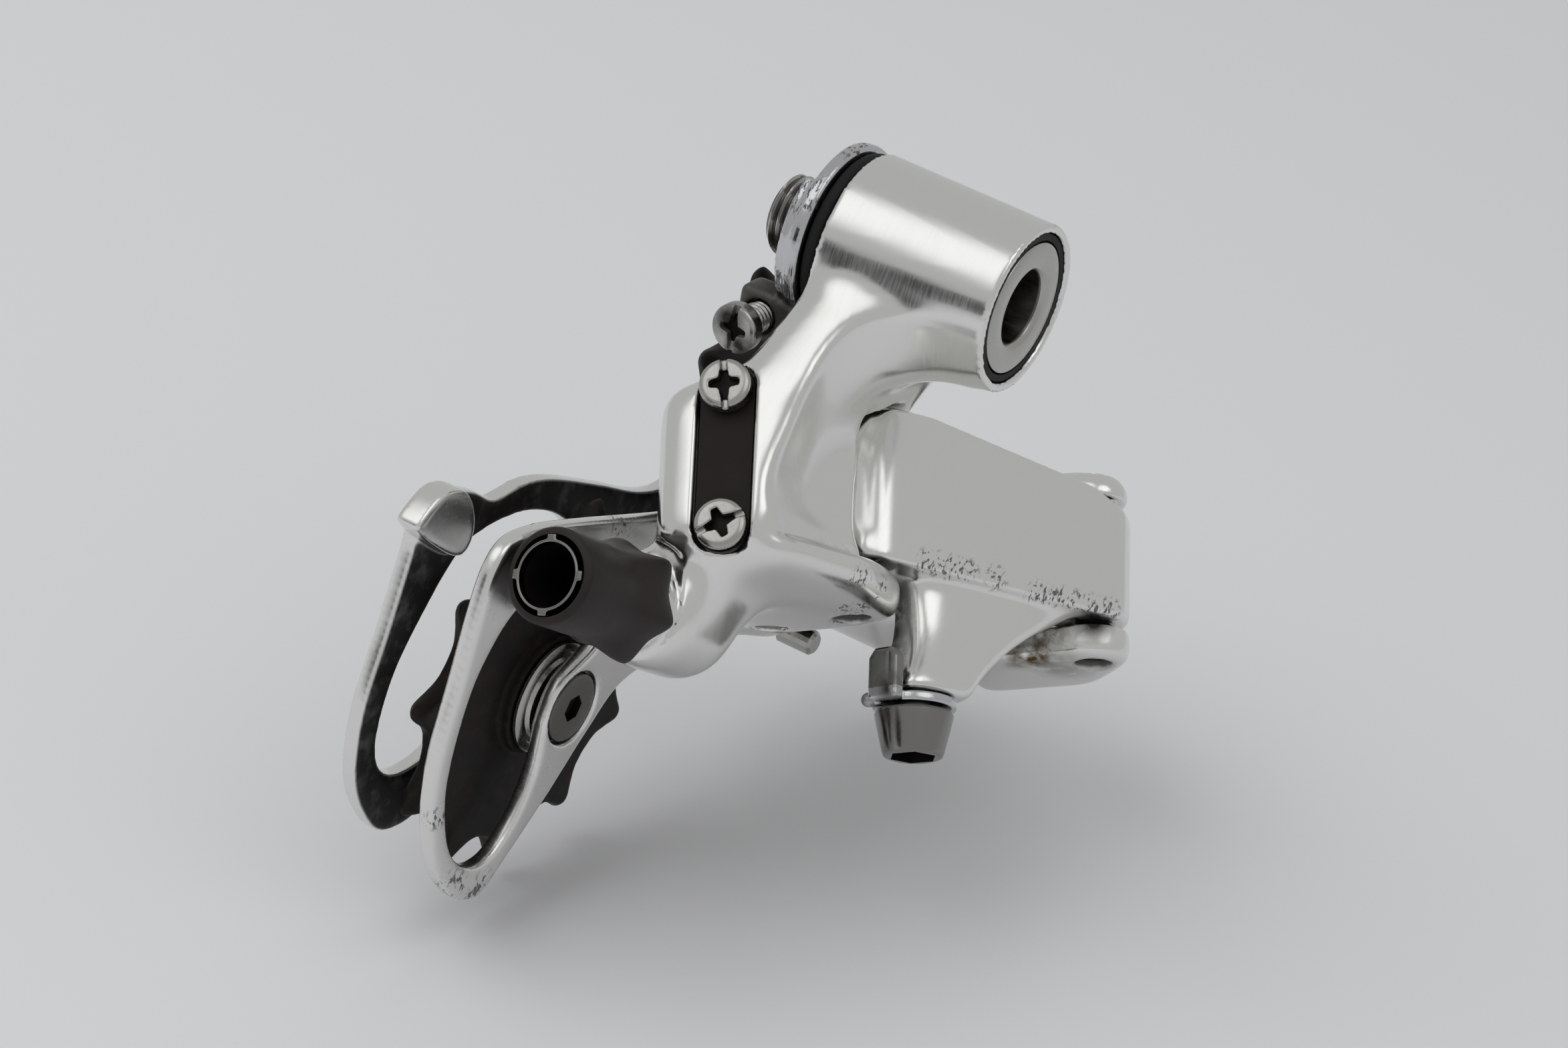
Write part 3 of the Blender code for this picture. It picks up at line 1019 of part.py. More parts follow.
def make_plate(name, cage, outline, opening, low, high):
    """One cage plate with its opening and its pulley bolts' holes."""
    low_end, high_end = low - BORE_OVERRUN, high + BORE_OVERRUN
    plate = piece(name, prism(smooth_loop(in_cage(outline), 2), low, high), cage, "polished_aluminium")
    if name == "inner_cage_plate":
        pad = smooth_loop(in_cage(CHAIN_PAD_OUTLINE), 2)
        join(plate, prism(pad, low + CAGE_EDGE_BEVEL, high + CHAIN_PAD_HEIGHT))
    cut(plate, prism(smooth_loop(in_cage(opening), 2), low_end, high_end))
    rounding = plate.modifiers.new("Rounding", "BEVEL")
    rounding.width = CAGE_EDGE_BEVEL * MM
    rounding.segments = 1
    rounding.limit_method = "ANGLE"
    rounding.angle_limit = math.radians(50)
    for place in in_cage([GUIDE_PULLEY, TENSION_PULLEY]):
        hole = rod(PULLEY_BOLT_RADIUS + RUN_GAP, low_end, high_end, SMALL_SIDES)
        cut(plate, moved(hole, Matrix.Translation((*place, 0))))
    return plate


def make_cage_plates(cage, stop_pin):
    """Outer and inner plates; the outer one carries the bolt heads, the axle and the stop pin."""
    make_plate("inner_cage_plate", cage, INNER_PLATE_OUTLINE, INNER_PLATE_OPENING,
               INNER_PLATE_BACK, INNER_PLATE_FACE)
    plate = make_plate("outer_cage_plate", cage, OUTER_PLATE_OUTLINE, OUTER_PLATE_OPENING,
                       OUTER_PLATE_BACK, OUTER_PLATE_FACE)
    end = OUTER_PLATE_FACE + BORE_OVERRUN
    seat = OUTER_PLATE_FACE - PULLEY_BOLT_HEAD_HEIGHT - RUN_GAP
    for place in in_cage([GUIDE_PULLEY, TENSION_PULLEY]):
        sink = rod(PULLEY_BOLT_HEAD_RADIUS + RUN_GAP, seat, end, 24)
        cut(plate, moved(sink, Matrix.Translation((*place, 0))))
    cut(plate, rod(CAGE_AXLE_RADIUS + RUN_GAP, OUTER_PLATE_BACK - BORE_OVERRUN, end, 24))
    stop_place, stop_low = stop_pin
    pin_hole = rod(STOP_PIN_RADIUS + SEAL_GAP, stop_low - SEAL_GAP, end, SMALL_SIDES)
    cut(plate, moved(pin_hole, stop_place))


def pulley_outline(first_tooth, tip_drop):
    """Teeth round a pulley: a round seat for each chain roller, two flanks and a tip."""
    pitch_radius = PULLEY_PITCH / (2 * math.sin(math.pi / PULLEY_TEETH))
    tip = pitch_radius + PULLEY_TOOTH_HEIGHT - tip_drop
    root = pitch_radius - PULLEY_ROOT_DROP
    flank = root + 0.45 * (tip - root)
    shape = ((-0.38, root), (-0.22, flank), (-0.09, tip), (0.09, tip), (0.22, flank), (0.38, root))
    points = []
    for tooth in range(PULLEY_TEETH):
        for share, radius in shape:
            angle = math.radians(first_tooth) + math.tau * (tooth + share) / PULLEY_TEETH
            points.append((radius * math.cos(angle), radius * math.sin(angle)))
    return points


def make_pulley(name, place, first_tooth):
    """Toothed resin pulley on its bushing, with a dust cap on each side and its bolt."""
    axis = pivot(f"{name}_axis", cage_frame(place))
    half_rim = PULLEY_RIM_THICKNESS / 2
    half_hub = PULLEY_HUB_THICKNESS / 2
    sections = [[(u, v, PULLEY_PLANE + share * half_rim) for u, v in pulley_outline(first_tooth, drop)]
                for share, drop in ((-1, PULLEY_TIP_BEVEL), (0, 0), (1, PULLEY_TIP_BEVEL))]
    pulley = piece(name, loft(sections), axis, "pulley_resin")
    join(pulley, rod(PULLEY_HUB_RADIUS, PULLEY_PLANE - half_hub, PULLEY_PLANE + half_hub))
    cut(pulley, rod(PULLEY_BORE, PULLEY_PLANE - 2 * half_hub, PULLEY_PLANE + 2 * half_hub, SMALL_SIDES))
    outer = PULLEY_BORE - RUN_GAP
    reach = CAGE_HALF_GAP - RUN_GAP
    bushing = tube(outer - PULLEY_BUSHING_WALL, outer, PULLEY_PLANE - reach, PULLEY_PLANE + reach,
                   SMALL_SIDES)
    piece(f"{name}_bushing", bushing, axis, "bronze")
    near = half_hub + RUN_GAP
    for side, face in (("outer", 1), ("inner", -1)):
        profile = [(outer + RUN_GAP, near), (CAP_RADIUS, near), (CAP_RADIUS, near + CAP_THICKNESS / 2),
                   (CAP_RADIUS - CAP_SLOPE, near + CAP_THICKNESS), (outer + RUN_GAP, near + CAP_THICKNESS)]
        cap = turned([(radius, PULLEY_PLANE + face * height) for radius, height in profile], 20)
        piece(f"{name}_{side}_cap", cap, axis, "bright_steel")
    head_top = OUTER_PLATE_FACE - PULLEY_BOLT_SUNK
    head_low = OUTER_PLATE_FACE - PULLEY_BOLT_HEAD_HEIGHT
    end = INNER_PLATE_BACK + PULLEY_BOLT_END_SUNK
    profile = [(0, end), (PULLEY_BOLT_RADIUS, end), (PULLEY_BOLT_RADIUS, head_low),
               (PULLEY_BOLT_HEAD_RADIUS, head_low), (PULLEY_BOLT_HEAD_RADIUS, head_top - CHAMFER),
               (PULLEY_BOLT_HEAD_RADIUS - CHAMFER, head_top), (0, head_top)]
    bolt = piece(f"{name}_bolt", turned(profile, 24), axis, "dark_steel")
    cut(bolt, prism(hexagon(PULLEY_HEX_FLATS), head_top - PULLEY_HEX_DEPTH, head_top + BORE_OVERRUN))


def main():
    for obj in list(bpy.data.objects):
        bpy.data.objects.remove(obj)
    hanger = pivot("hanger", BOLT_FRAME)
    upper = pivot("b_pivot_axis", BOLT_FRAME)
    linkage = pivot("outer_upper_axis", LINKAGE)
    outer_link = pivot("outer_link_axis", OUTER_LINK_FRAME)
    inner_link = pivot("inner_link_axis", INNER_LINK_FRAME)
    lower = pivot("outer_lower_axis", LOWER_FRAME)
    lower_cage = pivot("cage_axle_axis", CAGE_FRAME)
    cage = pivot("cage_axis", CAGE_FRAME)

    make_hanger(hanger)
    make_b_pivot(upper)
    slot, adjuster = make_upper_casting(upper, linkage)
    make_limit_screws(slot)
    make_adjuster(adjuster)
    make_outer_link(outer_link)
    make_cable_clamp(outer_link)
    make_inner_link(inner_link)
    make_pins(linkage, lower)
    make_lower_casting(lower, cage)
    stop_pin = make_cage_axle(cage, lower_cage)
    make_cage_plates(cage, stop_pin)
    make_pulley("guide_pulley", GUIDE_PULLEY, GUIDE_TOOTH_ANGLE)
    make_pulley("tension_pulley", TENSION_PULLEY, TENSION_TOOTH_ANGLE)


main()
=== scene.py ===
"""Finished looks of a rear bicycle derailleur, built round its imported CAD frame.

Lengths are in millimetres until a mesh is stored, where MM turns them into metres. Frames come
from the record's joints: the linkage's x points outboard square to its pins, its y forward and
its z up along the pins, from the low end of the outer upper pin.
"""

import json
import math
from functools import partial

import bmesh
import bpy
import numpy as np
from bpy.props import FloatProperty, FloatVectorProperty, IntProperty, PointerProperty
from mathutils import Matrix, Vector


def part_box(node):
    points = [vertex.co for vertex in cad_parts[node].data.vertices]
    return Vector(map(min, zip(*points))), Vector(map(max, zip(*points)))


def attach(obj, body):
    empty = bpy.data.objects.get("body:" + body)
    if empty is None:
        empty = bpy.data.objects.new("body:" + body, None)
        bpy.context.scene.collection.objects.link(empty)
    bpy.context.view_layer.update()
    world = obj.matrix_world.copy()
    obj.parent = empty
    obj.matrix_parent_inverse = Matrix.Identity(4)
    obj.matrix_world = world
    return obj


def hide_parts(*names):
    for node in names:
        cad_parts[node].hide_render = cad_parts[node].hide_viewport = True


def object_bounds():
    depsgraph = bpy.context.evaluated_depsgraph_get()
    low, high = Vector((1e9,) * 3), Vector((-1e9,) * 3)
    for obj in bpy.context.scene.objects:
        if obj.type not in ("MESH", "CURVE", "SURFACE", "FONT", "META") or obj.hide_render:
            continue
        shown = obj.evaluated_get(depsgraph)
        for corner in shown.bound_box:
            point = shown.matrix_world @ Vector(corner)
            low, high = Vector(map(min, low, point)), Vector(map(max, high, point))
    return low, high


bl_info = {
    "name": "Rear Derailleur Looks",
    "version": (1, 0, 0),
    "blender": (4, 5, 0),
    "location": "View3D > Sidebar > Derailleur",
    "description": "Dresses a packed rear derailleur in polished castings, worn steel and resin",
    "category": "Object",
}

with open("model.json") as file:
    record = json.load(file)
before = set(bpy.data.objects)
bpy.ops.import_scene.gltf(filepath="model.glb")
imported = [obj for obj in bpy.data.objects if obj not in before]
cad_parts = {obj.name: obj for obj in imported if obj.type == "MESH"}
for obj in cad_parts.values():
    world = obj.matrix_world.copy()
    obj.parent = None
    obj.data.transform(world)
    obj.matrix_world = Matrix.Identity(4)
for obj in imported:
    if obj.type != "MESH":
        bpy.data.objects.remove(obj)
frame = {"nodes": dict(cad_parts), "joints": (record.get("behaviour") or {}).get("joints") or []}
CAD_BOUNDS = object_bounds()
MM = 0.001
# Clearances, how far a cutter runs past what it cuts, and how finely round bodies are drawn
GAP = 0.3
SEAL_GAP = 0.15
OVERRUN = 2.0
ROUND_SIDES = 96
# Depth of the finishes' fine grain
METAL_RELIEF = 0.0015
MOULDED_RELIEF = 0.01


def place_frame(origin, z_axis, x_hint):
    """A frame with its z along z_axis and its x as near to x_hint as it can be."""
    z = Vector(z_axis).normalized()
    x = (Vector(x_hint) - z * Vector(x_hint).dot(z)).normalized()
    turn = Matrix((x, z.cross(x), z)).transposed().to_4x4()
    return Matrix.Translation(Vector(origin)) @ turn


JOINTS = {joint["name"]: joint for joint in frame["joints"]}


def joint_frame(name, x_hint):
    """A frame on a joint's axis, in millimetres."""
    return place_frame(Vector(JOINTS[name]["pos_m"]) / MM, JOINTS[name]["axis"], x_hint)


def shift(x=0.0, y=0.0, z=0.0):
    return Matrix.Translation((x, y, z))


def spin(degrees):
    return Matrix.Rotation(math.radians(degrees), 4, "Z")


# Frames of the joints. The link joints stand this far up their pins
PIN_MIDDLE = 14.0
BOLT = joint_frame("b_pivot", (0, 1, 0))
CAGE = joint_frame("cage_swing", (0, 1, 0))
B_SCREW = joint_frame("b_tension_screw_turn", (0, 0, 1))
ADJUSTER = joint_frame("adjuster_turn", (1, 0, 0))
LINKAGE = joint_frame("link_swing", (1, 0, 0)) @ shift(z=-PIN_MIDDLE)
LOWER = joint_frame("lower_body_turn", (1, 0, 0)) @ shift(z=-PIN_MIDDLE)
LINK_STEP = LINKAGE.inverted() @ LOWER.translation
LINK_LENGTH = LINK_STEP.xy.length
OUTER_LINK = LINKAGE @ spin(math.degrees(math.atan2(LINK_STEP.y, LINK_STEP.x)))
INNER_PIN = (LINKAGE.inverted() @ joint_frame("inner_link_swing", (1, 0, 0)).translation).xy
LIMIT_SCREWS = {side: joint_frame(f"{side}_limit_screw_turn", LINKAGE.col[2].xyz) for side in ("high", "low")}
SLOT = LIMIT_SCREWS["high"].copy()
SLOT.translation = (LIMIT_SCREWS["high"].translation + LIMIT_SCREWS["low"].translation) / 2
SCREW_SPACING = (LIMIT_SCREWS["high"].translation - LIMIT_SCREWS["low"].translation).length
WHEELS = {"guide": (joint_frame("guide_pulley_spin", (0, 1, 0)), 114.0),
          "tension": (joint_frame("tension_pulley_spin", (0, 1, 0)), 165.0)}


def depth(node):
    """Where a CAD node starts and ends along the bolt."""
    low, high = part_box(node)
    return low.x / MM, high.x / MM


# Barrel, bolt and stop plate along the bolt
BOLT_TIP, BOLT_FACE = depth("mount_bolt")
SEAL_LOW, SEAL_HIGH = depth("b_seal_inner")
BARREL_START = SEAL_HIGH + SEAL_GAP
BARREL_END = BOLT_FACE + 0.25
BARREL_RADII = (10.8, 10.05)
BOLT_RADIUS = 5.6
BOLT_HEAD_RADIUS = 8.0
BOLT_HEAD_BACK = BOLT_FACE - 1.5
BOLT_SOCKET = 4.4
BOLT_SOCKET_DEPTH = 8.0
BOLT_KEY = 6.0
HEAD_BORE = 9.1
SPRING_POCKET = 9.2
SPRING_POCKET_END = BARREL_START + 10.1
BUSHING_BORE = 7.2
THREAD_RADIUS = 5.0
STOP_PLATE_RADIUS = 11.1
STOP_PLATE_THICKNESS = SEAL_LOW - SEAL_GAP
SEAL_RADIUS = 10.5

# Screws
SCREW_RADIUS = 1.9
SCREW_HEAD = 3.0

# Linkage heights along the pins, and radii of its ears
LINK_BASE = 4.9
LINK_TOP_UPPER = 24.3
LINK_TOP_LOWER = 19.2
EAR_GAP = 0.5
FOOT_TOP = LINK_BASE - EAR_GAP
FOOT_BOTTOM = FOOT_TOP - 5.2
UPPER_EAR_BASE = LINK_TOP_UPPER + EAR_GAP
UPPER_EAR_TOP = UPPER_EAR_BASE + 5.0
LOWER_EAR_BASE = LINK_TOP_LOWER + 1.4
LOWER_EAR_TOP = LOWER_EAR_BASE + 4.2
LOWER_FOOT_TOP = FOOT_TOP - 0.4
LOWER_FOOT_BOTTOM = LOWER_FOOT_TOP - 4.2
PIN_BORE = 2.3
PIN_SKIN = 0.8
EAR_RADIUS = 5.9
INNER_EAR_RADIUS = 4.0
LINK_EAR_RADIUS = 4.5
LOWER_EAR_RADIUS = 4.7
PANEL_FACE = 6.0
SPARE = 1.0

# Cable clamp in the outer link's frame
CLAMP = OUTER_LINK @ shift(8.6, -1.0)
CLAMP_FACE = -9.4
CLAMP_WASHER_RADIUS = 5.0
CLAMP_WASHER_THICKNESS = 1.2
CLAMP_BOLT_RADIUS = 2.4
CLAMP_HEAD_RADII = (4.7, 3.7)
CLAMP_HEAD_HEIGHT = 5.4
CLAMP_KEY = 5.0
CLAMP_SHANK = CLAMP_FACE + 2.2
CLAMP_TAB_TURN = 20

# Adjuster along its own axis
ADJUSTER_LENGTH = 17.9
ADJUSTER_COLLAR = 1.7
ADJUSTER_COLLAR_RADIUS = 5.4
ADJUSTER_BOSS_RADIUS = 7.0
ADJUSTER_BORE = 4.6
ADJUSTER_SEAT = 7.95
ADJUSTER_WEB = (4.4, 6.0)
STUD_RADIUS = 2.8

# Cage and its axle's housing along the bolt's direction
OUTER_PLATE = depth("outer_cage_plate")
INNER_PLATE_BACK = depth("inner_cage_plate")[0]
INNER_PLATE_FACE = INNER_PLATE_BACK + OUTER_PLATE[1] - OUTER_PLATE[0]
HOUSING_ENDS = (-3.2, 10.0)
HOUSING_RADIUS = 9.5
AXLE_RADIUS = 4.0
CHAIN_PITCH = 12.7
TEETH = 11
WHEEL_PITCH_RADIUS = CHAIN_PITCH / (2 * math.sin(math.pi / TEETH))
WHEEL_HUB = 7.6
WHEEL_BORE = 3.6
CAP_RADIUS = 7.0
CAP_NEAR = 3.0
WHEEL_BOLT_HEAD = 4.4
WHEEL_BOLT_RADIUS = 2.3
WHEEL_KEY = 3.0
PLATE_HOLE = 2.6
STOP_PIN_HOLE = 1.85
STOP_PIN_REACH = 12.4
STOP_PIN_TURN = math.radians(250)

# Scoop outboard of the block and under the barrel, as linkage x and z at three depths
RIDGE_SECTION = [
    (1.6, 1.2), (-1.4, 3.6), (-1.7, 8.0), (0.2, 13.0), (2.6, 19.0), (5.2, 24.2), (8.6, 27.6),
    (13.0, 28.5), (20.0, 26.0), (30.0, 21.0), (44.0, 14.0), (44.0, 0.8)]
HOLLOW_SECTION = [
    (4.2, 2.4), (0.8, 4.6), (-0.8, 8.4), (-0.6, 12.5), (0.7, 16.6), (3.0, 19.6), (6.6, 21.7),
    (11.5, 22.4), (17.0, 21.4), (25.0, 17.6), (44.0, 9.0), (44.0, 2.4)]
WALL_SECTION = [
    (4.6, 4.0), (3.2, 5.2), (2.9, 8.0), (2.9, 13.0), (3.2, 18.0), (4.2, 22.0), (6.6, 24.8),
    (10.5, 26.4), (15.5, 25.6), (23.0, 22.0), (44.0, 12.5), (44.0, 4.0)]
SCOOP_DEPTHS = ((-34.0, RIDGE_SECTION), (-27.0, RIDGE_SECTION), (-16.0, HOLLOW_SECTION),
                (-5.0, WALL_SECTION), (8.0, WALL_SECTION))

# The cable boss from the panel down: height, near end at front and back, far end, front and back
BOSS_SECTIONS = (
    (5.4, 5.8, 6.2, 32.6, -4.4, 3.0), (3.8, 6.6, 6.4, 29.8, -4.1, 3.0), (1.7, 7.2, 6.4, 26.2, -4.1, 2.8),
    (-0.9, 7.4, 6.2, 22.4, -4.3, 2.6), (-2.4, 7.2, 6.0, 20.6, -4.5, 2.6), (-4.9, 6.4, 5.6, 18.0, -4.9, 2.8),
    (-7.0, 5.2, 5.2, 16.2, -5.3, 3.2), (CLAMP_FACE, 4.2, 4.2, 14.6, -5.8, 3.8))

# Cage plate outlines as world Y and Z
OUTER_OUTLINE = [
    (15.0, -26.0), (8.6, -28.4), (2.0, -34.6), (-8.0, -36.0), (-18.8, -33.2), (-37.6, -27.2),
    (-46.2, -24.8), (-51.5, -24.4), (-54.4, -26.7), (-56.2, -31.5), (-58.2, -40.0), (-60.4, -49.0),
    (-60.4, -57.0), (-58.2, -65.0), (-53.5, -71.2), (-48.4, -73.2), (-43.4, -69.8), (-36.8, -64.6),
    (-29.8, -58.4), (-23.6, -54.4), (-12.0, -54.6), (2.0, -58.6), (14.0, -63.4), (25.0, -63.4),
    (31.5, -56.0), (30.0, -46.0), (23.0, -38.0), (20.4, -29.6)]
OUTER_OPENING = [
    (-48.0, -34.0), (-54.0, -39.4), (-56.9, -46.8), (-57.8, -55.0), (-55.8, -63.0), (-51.8, -67.6),
    (-47.2, -68.2), (-42.8, -64.6), (-40.2, -59.0), (-39.6, -53.0), (-37.2, -48.6), (-30.5, -45.6),
    (-30.0, -39.6), (-38.5, -34.6)]
INNER_OUTLINE = [
    (15.0, -25.0), (8.8, -27.6), (5.0, -36.0), (-1.0, -39.8), (-7.9, -38.6), (-17.0, -34.4),
    (-27.7, -29.7), (-34.0, -28.1), (-39.6, -28.2), (-44.0, -25.6), (-49.4, -23.7), (-53.4, -25.6),
    (-54.6, -30.0), (-57.3, -38.9), (-60.2, -47.8), (-60.5, -56.1), (-58.1, -62.4), (-53.6, -67.2),
    (-46.5, -67.4), (-39.0, -63.2), (-31.0, -60.0), (-24.0, -54.0), (-10.0, -48.6), (6.0, -42.2),
    (17.6, -37.4), (20.4, -30.6)]
INNER_OPENING = [
    (-41.0, -31.6), (-45.6, -33.0), (-50.2, -37.8), (-55.0, -44.8), (-57.0, -52.4), (-55.6, -57.6),
    (-51.0, -60.0), (-44.0, -58.6), (-40.4, -51.0), (-36.0, -47.0), (-26.0, -44.4), (-21.4, -40.6),
    (-25.6, -35.6), (-33.0, -32.2)]
CHAIN_PAD = [
    (-56.2, -25.6), (-56.4, -24.4), (-53.2, -22.3), (-50.6, -22.2), (-48.0, -23.4), (-46.2, -26.0),
    (-45.6, -29.0), (-46.4, -31.2), (-48.4, -31.6), (-52.4, -29.0)]

# Stage, in metres: the softbox stands at the key, and each glow fades out between two angles in degrees
KEY_PLACE, KEY_EDGES = Vector((-0.37, -0.47, 0.80)), (7, 27)
FILL_PLACE, FILL_EDGES = Vector((0.404, -0.123, 0.795)), (10, 26)
SOFTBOX_SIZE = (0.95, 0.65)
CARD_PLACE, CARD_SIZE = Vector((-0.25, -0.66, 0.06)), (0.20, 0.20)
FLOOR_SIZE = (6.0, 6.0)
FLOOR_DROP = 0.002
SENSOR_WIDTH = 36.0


def linear(hex_colour):
    """An sRGB hex colour as linear red, green and blue."""
    shares = [int(hex_colour[i:i + 2], 16) / 255 for i in (1, 3, 5)]
    return tuple(s / 12.92 if s <= 0.04045 else ((s + 0.055) / 1.055) ** 2.4 for s in shares)


def length(name, description, millimetres):
    return FloatProperty(name=name, description=description, default=millimetres * MM, min=0,
                         precision=5, unit="LENGTH")


def angle(name, description, degrees):
    return FloatProperty(name=name, description=description, default=math.radians(degrees),
                         subtype="ANGLE")


def count(name, description, number):
    return IntProperty(name=name, description=description, default=number, min=0)


def amount(name, description, number, **settings):
    return FloatProperty(name=name, description=description, default=number, min=0, **settings)


def colour(name, description, hex_colour):
    return FloatVectorProperty(name=name, description=description, default=linear(hex_colour),
                               min=0, max=1, size=3, subtype="COLOR")


class ShapeSettings(bpy.types.PropertyGroup):
    """Fineness and small sizes of the pieces"""

    casting_voxel: length("Casting Voxel", "Grain of the castings' skin", 0.32)
    plate_voxel: length("Plate Voxel", "Grain of the cage plates and pulleys", 0.27)
    small_voxel: length("Small Voxel", "Grain of screws, washers and other small pieces", 0.13)
    casting_rounds: count("Casting Rounding", "Smoothing that blends a casting's limbs", 180)
    crease_rounds: count("Crease Rounding", "Smoothing of creases between hollows", 90)
    edge_rounds: count("Edge Rounding", "Smoothing of cut edges", 4)
    plate_rounds: count("Plate Rounding", "Smoothing of the outer cage plate's outline", 24)
    plate_edge_rounds: count("Plate Edge Rounding", "Smoothing of the outer cage plate's holes", 6)
    pad_rounds: count("Pad Rounding", "Smoothing of the inner cage plate and its chain pad", 7)
    pad_edge_rounds: count("Pad Edge Rounding", "Smoothing of the inner cage plate's holes", 5)
    thread_pitch: length("Thread Pitch", "Pitch of the hanger bolt's thread", 1.0)
    screw_pitch: length("Screw Pitch", "Pitch of the small screws' threads", 0.7)
    slot_width: length("Slot Width", "Width of the screws' slots", 0.75)
    slot_depth: length("Slot Depth", "Depth of the screws' slots", 0.9)
    pad_height: length("Pad Height", "Height of the chain pad over the inner plate", 1.8)


class ColourSettings(bpy.types.PropertyGroup):
    """Colours of the finishes"""

    aluminium: colour("Aluminium", "Polished and tumbled aluminium", "#E6E6E4")
    chrome: colour("Chrome", "Chromed steel", "#C9CACC")
    steel: colour("Steel", "Nickel-plated steel", "#B4B3B0")
    dark_steel: colour("Dark Steel", "Blackened steel", "#6A6764")
    rubber: colour("Rubber", "Rubber seals", "#101010")
    plate: colour("Plate", "Plate under the limit screws", "#1A1513")
    plastic: colour("Plastic", "Adjuster's barrel", "#231E1C")
    resin: colour("Resin", "Pulleys", "#14110F")
    rust: colour("Rust", "Rusty tint on the pulleys", "#3A2517")
    bronze: colour("Bronze", "Bushings", "#A98A52")
    # Dark mark on metal: thin dirt, and painted shade in hollows and on faces that sit in shadow
    grime_and_shade: colour("Grime", "Thin dirt on metal", "#1E1A17")
    # Black of recesses, sockets and pins: old grease, and painted shade
    grease: colour("Grease", "Old grease in recesses", "#120F0D")
    oil: colour("Oil", "Dried yellow-brown oil", "#5E4A22")
    floor: colour("Floor", "Paper under and behind the object", "#DEDFE1")
    room: colour("Room", "Room round the object, seen in the metal", "#BBBBBA")
    card: colour("Card", "Dark card beside the camera, seen in the metal", "#303030")


class StageSettings(bpy.types.PropertyGroup):
    """Camera and light"""

    azimuth: angle("Azimuth", "Camera's turn round the object", 27.97)
    elevation: angle("Elevation", "Camera's height over the object", 28.0)
    roll: angle("Roll", "Camera's tilt about its own view", 10.34)
    place: FloatVectorProperty(name="Place", description="Camera's position", size=3, subtype="TRANSLATION",
                               unit="LENGTH", default=(0.16675, -0.31315, 0.14931))
    lens: amount("Lens", "Focal length on a 36 mm sensor", 75.19, unit="CAMERA")
    lamp_power: amount("Lamp", "Softbox over the object", 3.2, unit="POWER")
    key_glow: amount("Key Glow", "Bright part of the room, seen in the metal", 0.65)
    fill_glow: amount("Fill Glow", "Second bright part of the room", 0.70)
    room_strength: amount("Room", "Brightness of the room", 1.0)


def polar(radius, turn):
    return radius * math.cos(turn), radius * math.sin(turn)


def rebase(points, source, target):
    """Points of one frame in the coordinates of another."""
    change = target.inverted() @ source
    return [change @ point for point in points]


def ball(x, y, z, radius):
    """Points of a ball, for a rounded hull."""
    bm = bmesh.new()
    bmesh.ops.create_icosphere(bm, subdivisions=4 if radius > 3 else 3, radius=radius)
    points = [vert.co + Vector((x, y, z)) for vert in bm.verts]
    bm.free()
    return points


def drum(x, y, low, high, radius):
    """Points of a drum standing along z, for a hull."""
    turns = [math.tau * i / ROUND_SIDES for i in range(ROUND_SIDES)]
    return [Vector((x, y, z)) + Vector((*polar(radius, t), 0)) for t in turns for z in (low, high)]


def hull(*groups):
    """The convex body round all the points."""
    bm = bmesh.new()
    for group in groups:
        for point in group:
            bm.verts.new(point)
    result = bmesh.ops.convex_hull(bm, input=bm.verts)
    loose = [item for item in result["geom_interior"] if isinstance(item, bmesh.types.BMVert)]
    bmesh.ops.delete(bm, geom=loose, context="VERTS")
    return bm


def turned(profile, sides=ROUND_SIDES, reach=None):
    """A turned body from (radius, height) points; reach can change a radius by angle and height."""
    bm = bmesh.new()
    rings = []
    for radius, height in profile:
        ring = []
        for i in range(sides if radius else 1):
            t = math.tau * i / sides
            r = reach(radius, t, height) if reach and radius else radius
            ring.append(bm.verts.new((*polar(r, t), height)))
        rings.append(ring)
    spans = list(zip(rings, rings[1:]))
    if profile[0][0]:
        spans.append((rings[-1], rings[0]))
    for low, high in spans:
        for i in range(sides):
            j = (i + 1) % sides
            corners = [low[i % len(low)], low[j % len(low)], high[j % len(high)], high[i % len(high)]]
            corners = list(dict.fromkeys(corners))
            if len(corners) > 2:
                bm.faces.new(corners)
    bmesh.ops.recalc_face_normals(bm, faces=bm.faces)
    return bm


def rod(radius, low, high):
    return turned([(0, low), (radius, low), (radius, high), (0, high)])


def bore(radius, low, high, x=0.0, y=0.0):
    """A round cutter along z at a place."""
    return moved(rod(radius, low, high), shift(x, y))


def tube(inner, outer, low, high):
    return turned([(outer, low), (outer, high), (inner, high), (inner, low)])


def thread(radius, cut_depth, pitch, low, high):
    """A threaded rod along z, with a real helix."""
    steps = max(2, round((high - low) / pitch * 8))
    heights = [low + (high - low) * i / steps for i in range(steps + 1)]

    def reach(size, t, height):
        phase = (height / pitch - t / math.tau) % 1
        return size - cut_depth * abs(2 * phase - 1)

    return turned([(0, low), *((radius, height) for height in heights), (0, high)], 48, reach)


def prism(outline, low, high):
    """An outline raised along z."""
    bm = bmesh.new()
    face = bm.faces.new([bm.verts.new((u, v, low)) for u, v in outline])
    raised = bmesh.ops.extrude_face_region(bm, geom=[face])
    verts = [item for item in raised["geom"] if isinstance(item, bmesh.types.BMVert)]
    bmesh.ops.translate(bm, vec=(0, 0, high - low), verts=verts)
    bmesh.ops.recalc_face_normals(bm, faces=bm.faces)
    return bm


def loft(sections):
    """A body through outlines with equal counts of points, from the first to the last."""
    bm = bmesh.new()
    rings = [[bm.verts.new(point) for point in section] for section in sections]
    for low, high in zip(rings, rings[1:]):
        for i in range(len(low)):
            j = (i + 1) % len(low)
            bm.faces.new((low[i], low[j], high[j], high[i]))
    bm.faces.new(rings[0])
    bm.faces.new(rings[-1])
    bmesh.ops.recalc_face_normals(bm, faces=bm.faces)
    return bm


